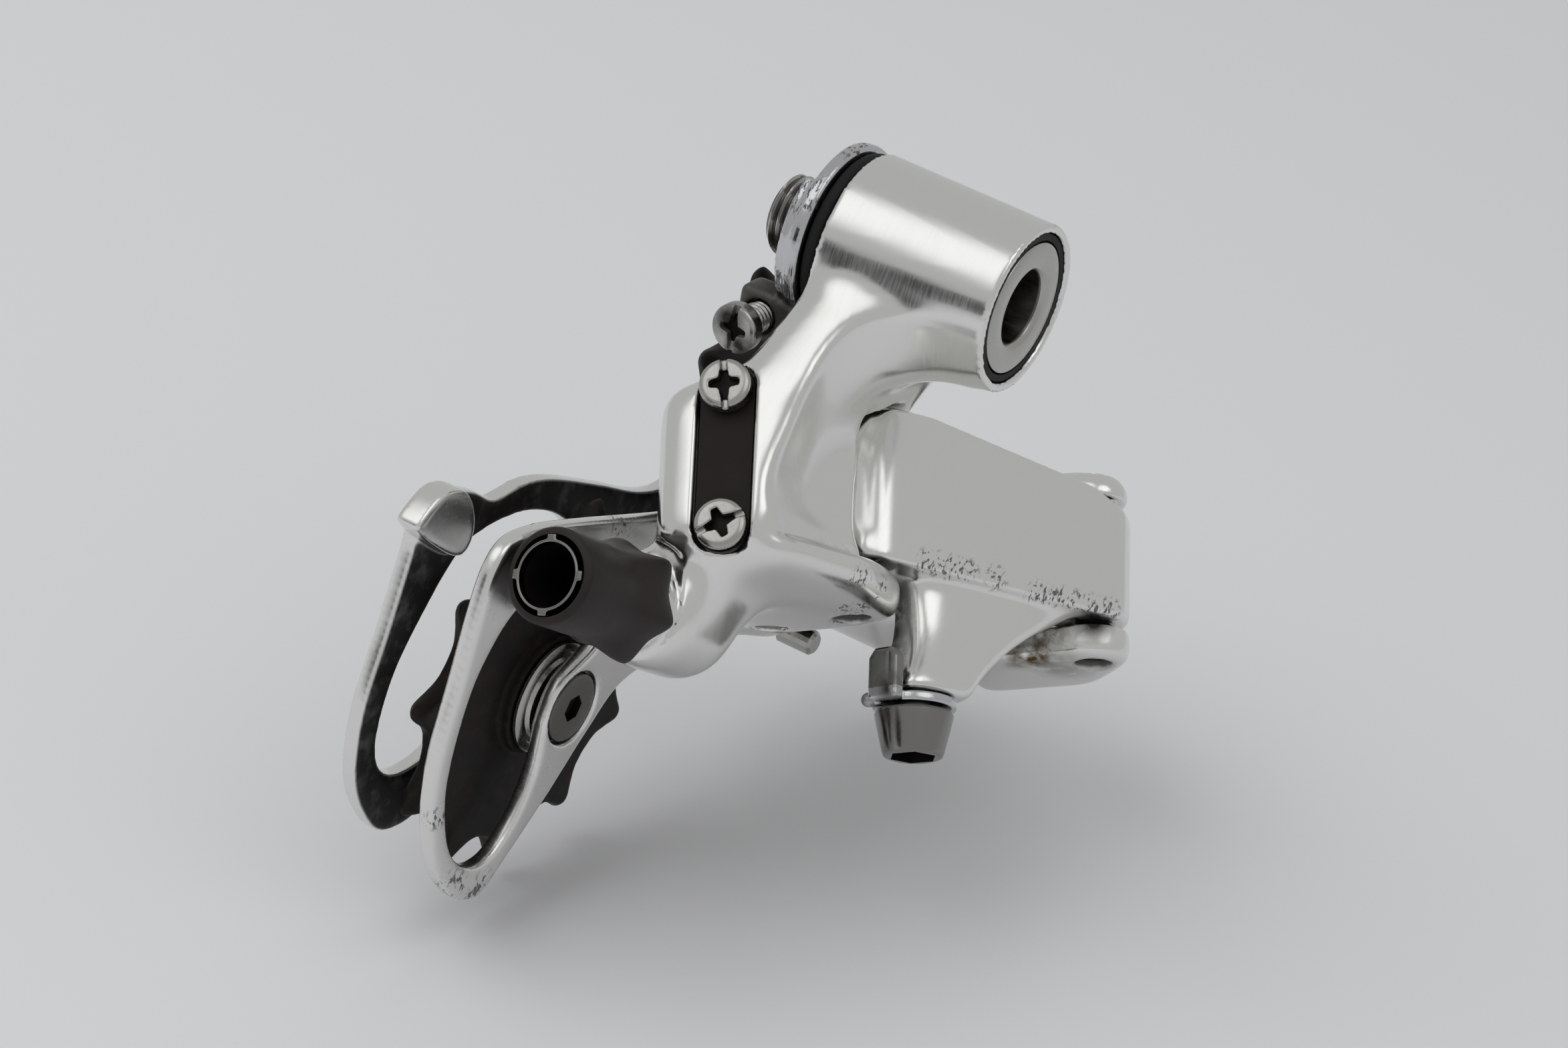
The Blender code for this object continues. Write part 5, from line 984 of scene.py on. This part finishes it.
class DERAILLEUR_OT_cage_plates(bpy.types.Operator):
    """Build the two cage plates, with rounded edges and the chain pad"""

    bl_idname = "derailleur.cage_plates"
    bl_label = "Cage Plates"

    def execute(self, context):
        shape = context.scene.derailleur_shape
        spots = [(BOLT.inverted() @ place.translation).xy for place, _ in WHEELS.values()]
        low, high = OUTER_PLATE
        axle = CAGE.translation.yz
        stop = axle + Vector(polar(STOP_PIN_REACH, STOP_PIN_TURN))
        opening = prism(smooth_loop(OUTER_OPENING), low - OVERRUN, high + OVERRUN)
        holes = [bore(radius, low - OVERRUN, high + OVERRUN, *spot) for radius, spot in (
            (PLATE_HOLE, spots[0]), (PLATE_HOLE, spots[1]), (AXLE_RADIUS + GAP, axle), (STOP_PIN_HOLE, stop))]
        holes += [bore(WHEEL_BOLT_HEAD + GAP, high - 1.5, high + OVERRUN, *spot) for spot in spots]
        plate = carved(shape.plate_voxel, prism(smooth_loop(OUTER_OUTLINE), low, high), [opening],
                       shape.plate_rounds, holes, shape.plate_edge_rounds)
        wear_and_shade = (("scuff", ((-55.0, -70.0, high, 5.0), (-59.0, -57.0, high, 2.4), (-49.0, -72.6, high, 4.0),
                           (-30.0, -30.0, high, 2.4), (-10.0, -35.0, high, 3.0))),
                ("grime_and_shade", ((-38.0, -47.0, high, 2.4), (-8.0, -41.0, high, 5.0), (-14.0, -37.5, high, 3.0))))
        show("outer_plate", plate, BOLT, "cage", ["outer_cage_plate"], "polished_aluminium",
             "tumbled_aluminium", wear_and_shade=wear_and_shade)

        low, high = INNER_PLATE_BACK, INNER_PLATE_FACE
        plate = merged(prism(smooth_loop(INNER_OUTLINE), low, high),
                       prism(smooth_loop(CHAIN_PAD), low + 0.6, high + shape.pad_height / MM))
        opening = prism(smooth_loop(INNER_OPENING), low - OVERRUN, high + OVERRUN)
        holes = [bore(PLATE_HOLE, low - OVERRUN, high + OVERRUN, *spot) for spot in spots]
        plate = carved(shape.plate_voxel, plate, 0, [opening], shape.pad_rounds, holes,
                       shape.pad_edge_rounds)
        refinish(plate, lambda spot: spot.z > high + 0.35)
        show("inner_plate", plate, BOLT, "cage", ["inner_cage_plate"], "polished_aluminium",
             "greasy_aluminium", "tumbled_aluminium")
        return {"FINISHED"}


class DERAILLEUR_OT_pulleys(bpy.types.Operator):
    """Build both pulleys with their dust caps and bolts"""

    bl_idname = "derailleur.pulleys"
    bl_label = "Pulleys"

    def execute(self, context):
        shape = context.scene.derailleur_shape
        plane = WHEELS["guide"][0].translation.x
        for name, (place, first_tooth) in WHEELS.items():
            def outline(drop):
                tip, root = WHEEL_PITCH_RADIUS + 1.2 - drop, WHEEL_PITCH_RADIUS - 3.4
                flank = root + 0.45 * (tip - root)
                points = []
                for tooth in range(TEETH):
                    for share, radius in ((-0.34, root), (-0.17, flank), (-0.05, tip), (0.05, tip),
                                          (0.17, flank), (0.34, root)):
                        turn = math.radians(first_tooth) + math.tau * (tooth + share) / TEETH
                        points.append(polar(radius, turn))
                return smooth_loop(points, 4)

            sections = [[(u, v, z) for u, v in outline(drop)]
                        for z, drop in ((-1.3, 1.4), (-0.6, 0.5), (0, 0), (0.6, 0.5), (1.3, 1.4))]
            wheel = carved(shape.plate_voxel, merged(loft(sections), rod(WHEEL_HUB, -2.7, 2.7)), 0,
                           [rod(WHEEL_BORE, -6, 6)], 2)
            show(f"{name}_wheel", wheel, place, f"{name}_pulley", [f"{name}_pulley"], "pulley_resin", "resin")
            r, near = CAP_RADIUS, CAP_NEAR
            profile = [(WHEEL_BORE, near), (r, near), (r, near + 0.35), (r - 0.2, near + 0.5),
                       (r - 1.0, near + 0.62), (r - 1.2, near + 0.5), (r - 1.6, near + 0.5),
                       (r - 1.9, near + 0.95), (r - 2.1, near + 1.0), (WHEEL_BORE, near + 1.0)]
            for side, face in (("outer", 1), ("inner", -1)):
                cap = turned([(radius, face * height) for radius, height in profile])
                show(f"{name}_{side}_dust_cap", cap, place, "cage", [f"{name}_pulley_{side}_cap"],
                     "bright_steel", "nickel_steel", sharp=30)
            head = OUTER_PLATE[1] - 0.1 - plane
            back = INNER_PLATE_BACK + 0.2 - plane
            r = WHEEL_BOLT_HEAD
            bolt = turned([(0, back), (WHEEL_BOLT_RADIUS, back), (WHEEL_BOLT_RADIUS, head - 1.1),
                           (r, head - 1.1), (r, head - 0.4), (r - 0.15, head - 0.12), (r - 0.5, head),
                           (0, head)])
            bolt = carved(shape.small_voxel, bolt, [prism(hexagon(WHEEL_KEY), head - 0.9, head + OVERRUN)])
            # The socket's inside gets the black grease finish as painted shade
            refinish(bolt, lambda spot: spot.xy.length < 1.8 and head - 1 < spot.z < head - 0.05)
            show(f"{name}_wheel_bolt", bolt, place, "cage", [f"{name}_pulley_bolt"], "dark_steel",
                 "blackened_steel", "grease", sharp=30)
        return {"FINISHED"}


class DERAILLEUR_OT_hanger_bolt(bpy.types.Operator):
    """Build the hanger bolt with its thread and socket, the stop plate and the seals"""

    bl_idname = "derailleur.hanger_bolt"
    bl_label = "Hanger Bolt"

    def execute(self, context):
        shape = context.scene.derailleur_shape
        pitch = shape.thread_pitch / MM
        r, face, hole = BOLT_HEAD_RADIUS, BOLT_FACE, BOLT_SOCKET
        floor = face - BOLT_SOCKET_DEPTH
        profile = [(0, -0.3), (BOLT_RADIUS - 0.3, -0.3), (BOLT_RADIUS, 0), (BOLT_RADIUS, BOLT_HEAD_BACK),
                   (r, BOLT_HEAD_BACK), (r, face - 0.4), (r - 0.12, face - 0.12), (r - 0.4, face),
                   (hole + 0.75, face), (hole + 0.5, face - 0.1), (hole + 0.1, face - 0.5),
                   (hole, face - 0.8), (hole, floor), (0, floor)]
        shank = carved(shape.small_voxel, turned(profile), [prism(hexagon(BOLT_KEY), floor - 5, floor + 0.4)])
        tip = turned([(0, BOLT_TIP), (THREAD_RADIUS - 0.9, BOLT_TIP), (THREAD_RADIUS - 0.5, BOLT_TIP + 0.5),
                      (THREAD_RADIUS - 0.5, BOLT_TIP + 1.2), (0, BOLT_TIP + 1.2)])
        whole = merged(shank, thread(THREAD_RADIUS, 0.55, pitch, BOLT_TIP + 0.6, -0.2), tip)
        # The thread gets the blackened steel for its oil; the socket's inside gets it as painted shade
        refinish(whole, lambda spot: spot.xy.length < (THREAD_RADIUS - 0.3 if spot.z < 0 else hole + 0.05))
        show("hanger_bolt", whole, BOLT, "hanger", ["mount_bolt"], "bright_steel", "nickel_steel",
             "blackened_steel", sharp=28)

        r, t = STOP_PLATE_RADIUS, STOP_PLATE_THICKNESS
        plate = turned([(r - 0.25, 0), (r, 0.25), (r, t - 0.35), (r - 0.35, t),
                        (BOLT_RADIUS + GAP, t), (BOLT_RADIUS + GAP, 0)])
        turns = [math.radians(128 + 94 * i / 40) for i in range(41)]
        lip = prism([*(polar(r - 0.4, turn) for turn in turns),
                     *(polar(r - 2.6, turn) for turn in reversed(turns))], -1.3, t / 2)
        x, y, z = B_SCREW.translation
        ear = hull(*(ball(v, z + w, u, 1.0)
                     for v in (y + 6.6, y + 9.0) for w in (-2.2, 2.2) for u in (x - 2.2, t - 1)))
        screw_hole = moved(rod(SCREW_RADIUS + GAP, -14, 2.2), BOLT.inverted() @ B_SCREW)
        disc = carved(shape.small_voxel * 1.6, merged(plate, lip, ear), 0, [screw_hole], 5)
        wear_and_shade = (("scuff", ((0, 10.6, t, 4.0), (-8.0, 7.0, 0, 4.0), (-9.5, -4.0, -1.0, 4.0))),
                ("grime_and_shade", ((y + 8, z, x, 5.0),)))
        refinish(disc, lambda spot: (spot.xy - Vector((y + 7.8, z))).length < 4.8)
        show("stop_disc", disc, BOLT, "hanger", ["stop_plate"], "chromed_steel", "chromed_steel",
             "blackened_steel", wear_and_shade=wear_and_shade)

        r, low, high = SEAL_RADIUS, SEAL_LOW, SEAL_HIGH
        ring = [(r - 0.6, low), (r - 0.2, low + 0.15), (r, low + 0.6), (r, high - 0.6),
                (r - 0.2, high - 0.15), (r - 0.6, high), (BUSHING_BORE, high), (BUSHING_BORE, low)]
        show("inboard_seal", turned(ring), BOLT, "upper", ["b_seal_inner"], "black_rubber", "rubber",
             sharp=50)
        low, high = depth("b_seal_outer")
        ring = tube(BOLT_HEAD_RADIUS + SEAL_GAP, HEAD_BORE - SEAL_GAP, low, high)
        show("outboard_seal", ring, BOLT, "upper", ["b_seal_outer"], "black_rubber", "rubber", sharp=50)
        return {"FINISHED"}


class DERAILLEUR_OT_screws(bpy.types.Operator):
    """Build the B-tension screw and the two limit screws"""

    bl_idname = "derailleur.screws"
    bl_label = "Screws"

    def execute(self, context):
        shape = context.scene.derailleur_shape
        pitch, half, sunk = shape.screw_pitch / MM, shape.slot_width / MM / 2, shape.slot_depth / MM
        r = SCREW_HEAD
        wing, corner = 0.58 * r, 0.21 * r
        quarter = [(wing, -half), (wing, half), (corner, corner)]
        cross = [(spin(turn) @ Vector((u, v, 0))).xy for turn in (0, 90, 180, 270) for u, v in quarter]
        soiled = (("grime_and_shade", ((1.2, 0.8, 0, 2.6), (-1.6, -1.2, 0, 2.2), (0, 2.4, -1.4, 2.0))),)
        screws = (("b_tension_screw", B_SCREW, -2.2, 0.0, -14.0, 0, soiled),
                  ("high_limit_screw", LIMIT_SCREWS["high"], -0.6, 1.6, -13.0, 4, ()),
                  ("low_limit_screw", LIMIT_SCREWS["low"], -0.6, 0.6, -13.0, -66, ()))
        for name, place, base, top, tip, turn, wear_and_shade in screws:
            head = turned([(0, base), (r - 0.2, base), (r, base + 0.2), (r, top - 0.55),
                           (r - 0.15, top - 0.25), (r - 0.6, top - 0.06), (0, top)])
            slots = (block((-2 * r, -half, top - sunk), (2 * r, half, top + OVERRUN)),
                     prism(cross, top - 1.5 * sunk, top + OVERRUN))
            head = carved(shape.small_voxel, head, [moved(slot, spin(turn)) for slot in slots], 3)
            whole = merged(head, thread(SCREW_RADIUS, 0.3, pitch, tip + 0.3, base + 0.2))
            # The deep part of the cross recess is black, as painted shade in the recess
            refinish(whole, lambda spot: spot.xy.length < 0.93 * r and base + 0.1 < spot.z < top - sunk - 0.1)
            show(f"{name}_turned", whole, place, name, [name], "bright_steel", "nickel_steel",
                 "grease", wear_and_shade=wear_and_shade)
        return {"FINISHED"}


class DERAILLEUR_OT_adjuster(bpy.types.Operator):
    """Build the cable adjuster's fluted barrel and its metal sleeve"""

    bl_idname = "derailleur.adjuster"
    bl_label = "Cable Adjuster"

    def execute(self, context):
        shape = context.scene.derailleur_shape
        end = ADJUSTER_LENGTH
        base = ADJUSTER_COLLAR + GAP
        web_low, web_high = ADJUSTER_WEB
        outside = [(6.5, base), (6.9, base + 0.2), (7.1, base + 0.7), (7.1, 3.4), (7.0, 4.2), (6.7, 5.2),
                   (6.4, 6.1), (6.1, 7.0), (5.85, 7.9), (5.65, 8.8), (5.55, 9.8), (5.5, 11.0), (5.5, 14.0),
                   (5.5, end - 0.6), (5.4, end - 0.25), (5.1, end)]
        inside = [(ADJUSTER_BORE, end), (ADJUSTER_BORE, web_high), (STUD_RADIUS + GAP, web_high),
                  (STUD_RADIUS + GAP, web_low), (ADJUSTER_BORE, web_low), (ADJUSTER_BORE, base)]

        def fluted(radius, t, height):
            share = max(0.0, 1 - max(0.0, height - 3.4) / 7.0)
            if radius < 5.45 or not share:
                return radius
            ridge = 1 - math.sqrt(math.sin(3 * t) ** 2 + 0.04)
            return radius + 1.2 * share * (1.3 * ridge - 1)

        # The bore's inside gets the black grease finish as painted shade
        barrel = refinish(turned(outside + inside, 180, fluted),
                          lambda spot: spot.xy.length < ADJUSTER_BORE + 0.1)
        show("adjuster_nylon", barrel, ADJUSTER, "adjuster", ["adjuster_barrel"], "grey_brown_plastic",
             "nylon", "grease", sharp=40)
        outer, mouth = ADJUSTER_BORE - 0.6, end + 0.4
        inner = outer - 0.4
        ring = turned([(outer, web_high + GAP), (outer, mouth - 0.15), (outer - 0.15, mouth),
                       (inner + 0.15, mouth), (inner, mouth - 0.15), (inner, web_high + GAP)])
        tabs = [moved(block((inner + 0.2, -0.55, end - 0.3), (outer + 0.5, 0.55, mouth)), spin(turn + 20))
                for turn in (0, 90, 180, 270)]
        # The ring is in the darkened nickel, as painted dark reflections, and its inner part below the mouth
        # is black as painted shade
        ring = refinish(carved(shape.small_voxel, merged(ring, *tabs), 2), lambda spot: spot.z < end - 0.8)
        show("adjuster_ring", ring, ADJUSTER, "adjuster", ["adjuster_sleeve"], "chromed_steel",
             "dull_nickel", "grease")
        return {"FINISHED"}


class DERAILLEUR_OT_cable_clamp(bpy.types.Operator):
    """Build the cable clamp's washer with its tab, and its bolt"""

    bl_idname = "derailleur.cable_clamp"
    bl_label = "Cable Clamp"

    def execute(self, context):
        shape = context.scene.derailleur_shape
        top = CLAMP_FACE - GAP
        low = top - CLAMP_WASHER_THICKNESS
        r = CLAMP_WASHER_RADIUS
        washer = turned([(CLAMP_BOLT_RADIUS + GAP, low), (r - 0.2, low), (r, low + 0.2), (r, top - 0.2),
                         (r - 0.2, top), (CLAMP_BOLT_RADIUS + GAP, top)])
        corners = ((1.7, low + 0.4), (1.7, top + 3.7), (1.0, top + 4.6))
        tab = hull(*(ball(-x, side * y, z, 0.4)
                     for x in (r + 0.4, r + 1.3) for side in (1, -1) for y, z in corners))
        foot = block((-r - 1.3, -1.7, low), (1 - r, 1.7, top))
        curl = spin(165) @ Vector((r + 0.7, 0, low + 0.6))
        knob = hull(ball(*curl, 0.9), ball(0.7 * curl.x, 0.7 * curl.y, curl.z, 0.6))
        fold = block((-r - 2, -1.1, low + 1.2), (-r - 1.4, -0.8, top + 4.2))
        turn = spin(CLAMP_TAB_TURN)
        whole = merged(washer, moved(tab, turn), moved(foot, turn), knob)
        washer = carved(shape.small_voxel, whole, 0, [moved(fold, turn)], 4)
        # Painted shade: the tab gets the grime spots and the darkened nickel, for the shade under the link
        wear_and_shade = (("grime_and_shade", ((-r - 1.5, -3.4, low + 1.0, 2.6), (-r - 1, 2.6, low + 0.8, 2.4))),)
        refinish(washer, lambda spot: spot.z > top + 0.2)
        show("clamp_washer", washer, CLAMP, "outer_link", ["cable_clamp_washer"], "chromed_steel",
             "chromed_steel", "dull_nickel", wear_and_shade=wear_and_shade)
        head, end = low - GAP, low - GAP - CLAMP_HEAD_HEIGHT
        wide, small = CLAMP_HEAD_RADII
        profile = [(0, end), (small - 0.6, end), (small - 0.2, end + 0.15), (small, end + 0.6),
                   (wide - 0.05, head - 0.7), (wide, head - 0.4), (wide - 0.2, head - 0.1),
                   (wide - 0.5, head), (CLAMP_BOLT_RADIUS, head), (CLAMP_BOLT_RADIUS, CLAMP_SHANK),
                   (0, CLAMP_SHANK)]
        socket = prism(hexagon(CLAMP_KEY), end - OVERRUN, end + 3.0)
        bolt = carved(shape.small_voxel, turned(profile), [socket])
        # The bolt is in the darkened nickel as painted shade, and its socket's inside is black as painted
        # shade
        refinish(bolt, lambda spot: spot.xy.length < 3 and end + 0.3 < spot.z < end + 3.2)
        show("clamp_bolt", bolt, CLAMP, "outer_link", ["cable_clamp_bolt"], "bright_steel",
             "dull_nickel", "grease", sharp=35)
        return {"FINISHED"}


class DERAILLEUR_OT_springs(bpy.types.Operator):
    """Build the four wound springs"""

    bl_idname = "derailleur.springs"
    bl_label = "Springs"

    def execute(self, context):
        inner_pin = LINKAGE @ shift(*INNER_PIN)
        coils = (("b_spring", BOLT, "upper", 8.3, 0.6, BARREL_START + GAP, 9.5, 4),
                 ("return_spring", inner_pin, "upper", 3.2, 0.55, 9.35, 10.5, 5),
                 ("adjuster_spring", ADJUSTER, "upper", 3.7, 0.4, GAP, 3.8, 2),
                 ("cage_spring", CAGE, "lower", 5.55, 0.75, HOUSING_ENDS[0] + GAP, 9.6, 3))
        for name, place, body, radius, wire, start, size, turns in coils:
            curve = bpy.data.curves.new(f"{name}_coil", "CURVE")
            curve.dimensions = "3D"
            curve.bevel_depth = wire * MM
            curve.bevel_resolution = 4
            curve.use_fill_caps = True
            steps = 32 * turns
            spline = curve.splines.new("POLY")
            spline.points.add(steps)
            for i, spot in enumerate(spline.points):
                t = math.tau * turns * i / steps
                height = start + wire + (size - 2 * wire) * i / steps
                spot.co = (*(place @ Vector((*polar(radius, t), height)) * MM), 1)
            piece(f"{name}_coil", curve, body, [name], "spring_steel", "spring_steel")
        return {"FINISHED"}


class DERAILLEUR_OT_plain_pieces(bpy.types.Operator):
    """Give the pins, axle, bushings and other plain CAD pieces their finishes"""

    bl_idname = "derailleur.plain_pieces"
    bl_label = "Plain Pieces"

    def execute(self, context):
        by_slot = {"polished_aluminium": "tumbled_aluminium", "bright_steel": "nickel_steel",
                   "dark_steel": "blackened_steel", "black_rubber": "rubber",
                   "grey_brown_plastic": "nylon", "pulley_resin": "resin"}
        # The outer link's pins and the adjuster's stud get the black grease finish: grease, and painted shade
        # in the recesses they sit in
        greasy = ("outer_upper_pin", "outer_lower_pin", "adjuster_stud")
        for name, obj in frame["nodes"].items():
            slot = obj.data.materials[0].name.split(".")[0]
            obj.data.materials.clear()
            obj.data.materials.append(finish("grease" if name in greasy else by_slot.get(slot, slot)))
        return {"FINISHED"}


class DERAILLEUR_OT_stage(bpy.types.Operator):
    """Set the paper floor, the soft light and the camera"""

    bl_idname = "derailleur.stage"
    bl_label = "Stage"

    def execute(self, context):
        scene = context.scene
        stage = scene.derailleur_stage
        tint = scene.derailleur_colours
        scene.view_settings.view_transform = "Standard"

        middle = (Vector(CAD_BOUNDS[0]) + Vector(CAD_BOUNDS[1])) / 2

        def sheet(name, tone, size, place, turn):
            bm = bmesh.new()
            bmesh.ops.create_grid(bm, x_segments=1, y_segments=1, size=0.5)
            mesh = bpy.data.meshes.new(name)
            bm.to_mesh(mesh)
            bm.free()
            material, _, shader = new_material(name)
            feed(shader, {"Base Color": (*tone, 1), "Roughness": 0.9, "Specular IOR Level": 0.1})
            mesh.materials.append(material)
            obj = bpy.data.objects.new(name, mesh)
            obj.matrix_world = Matrix.LocRotScale(place, turn, Vector((*size, 1)))
            scene.collection.objects.link(obj)
            return obj

        def towards(place):
            return (middle - place).to_track_quat("-Z", "Y")

        # Matt paper
        under = Vector((0, 0, CAD_BOUNDS[0][2] - FLOOR_DROP))
        sheet("paper_floor", tint.floor, FLOOR_SIZE, under, Matrix.Identity(3))
        # Black card beside the camera, for the dark lines in the polish
        card = sheet("black_card", tint.card, CARD_SIZE, CARD_PLACE, towards(CARD_PLACE))
        card.visible_camera = False
        card.visible_shadow = False

        world = bpy.data.worlds.new("soft_room")
        world.use_nodes = True
        tree = world.node_tree
        way = node(tree, "TexCoord", output="Generated")
        light = (*tint.room, 1)
        # Soft bright parts of the room
        for spot, glow, edges in ((KEY_PLACE, stage.key_glow, KEY_EDGES),
                                  (FILL_PLACE, stage.fill_glow, FILL_EDGES)):
            near = node(tree, "VectorMath", (way, spot.normalized()), "Value", operation="DOT_PRODUCT")
            full, start = (math.cos(math.radians(edge)) for edge in edges)
            share = node(tree, "MapRange", (near, start, full, 0.0, glow), interpolation_type="SMOOTHSTEP")
            light = node(tree, "Mix", {0: share, 6: light, 7: (1, 1, 1, 1)}, 2, data_type="RGBA",
                         blend_type="ADD")
        feed(tree.nodes["Background"], {"Color": light, "Strength": stage.room_strength})
        scene.world = world

        # A softbox for the paper's shadow, left out of the polish, where the room shows instead
        softbox = bpy.data.lights.new("softbox", "AREA")
        softbox.shape = "RECTANGLE"
        softbox.size, softbox.size_y = SOFTBOX_SIZE
        softbox.energy = stage.lamp_power
        lamp = bpy.data.objects.new("softbox", softbox)
        lamp.matrix_world = Matrix.LocRotScale(KEY_PLACE, towards(KEY_PLACE), None)
        lamp.visible_glossy = False
        scene.collection.objects.link(lamp)

        data = bpy.data.cameras.new("photo_camera")
        data.lens = stage.lens
        data.sensor_width = SENSOR_WIDTH
        data.clip_start = 0.01
        camera = bpy.data.objects.new("photo_camera", data)
        turn = Matrix.Rotation(stage.azimuth, 4, "Z") @ Matrix.Rotation(math.pi / 2 - stage.elevation, 4, "X")
        camera.matrix_world = Matrix.Translation(stage.place) @ turn @ Matrix.Rotation(stage.roll, 4, "Z")
        scene.collection.objects.link(camera)
        scene.camera = camera
        return {"FINISHED"}


class DERAILLEUR_PT_panel(bpy.types.Panel):
    """Sidebar panel with the settings and the building steps"""

    bl_idname = "DERAILLEUR_PT_panel"
    bl_label = "Derailleur"
    bl_space_type = "VIEW_3D"
    bl_region_type = "UI"
    bl_category = "Derailleur"

    def draw(self, context):
        for group in (context.scene.derailleur_shape, context.scene.derailleur_colours,
                      context.scene.derailleur_stage):
            box = self.layout.box()
            for name in type(group).__annotations__:
                box.prop(group, name)
        for operator in OPERATORS:
            self.layout.operator(operator.bl_idname)


OPERATORS = (
    DERAILLEUR_OT_plain_pieces, DERAILLEUR_OT_upper_casting, DERAILLEUR_OT_outer_link,
    DERAILLEUR_OT_lower_casting, DERAILLEUR_OT_cage_plates, DERAILLEUR_OT_pulleys,
    DERAILLEUR_OT_hanger_bolt, DERAILLEUR_OT_screws, DERAILLEUR_OT_adjuster,
    DERAILLEUR_OT_cable_clamp, DERAILLEUR_OT_springs, DERAILLEUR_OT_stage)
CLASSES = (ShapeSettings, ColourSettings, StageSettings, *OPERATORS, DERAILLEUR_PT_panel)


def register():
    for item in CLASSES:
        bpy.utils.register_class(item)
    bpy.types.Scene.derailleur_shape = PointerProperty(type=ShapeSettings)
    bpy.types.Scene.derailleur_colours = PointerProperty(type=ColourSettings)
    bpy.types.Scene.derailleur_stage = PointerProperty(type=StageSettings)


def unregister():
    del bpy.types.Scene.derailleur_stage
    del bpy.types.Scene.derailleur_colours
    del bpy.types.Scene.derailleur_shape
    for item in reversed(CLASSES):
        bpy.utils.unregister_class(item)


def main():
    register()
    for operator in OPERATORS:
        getattr(bpy.ops.derailleur, operator.bl_idname.split(".")[1])()


if __name__ == "__main__":
    main()
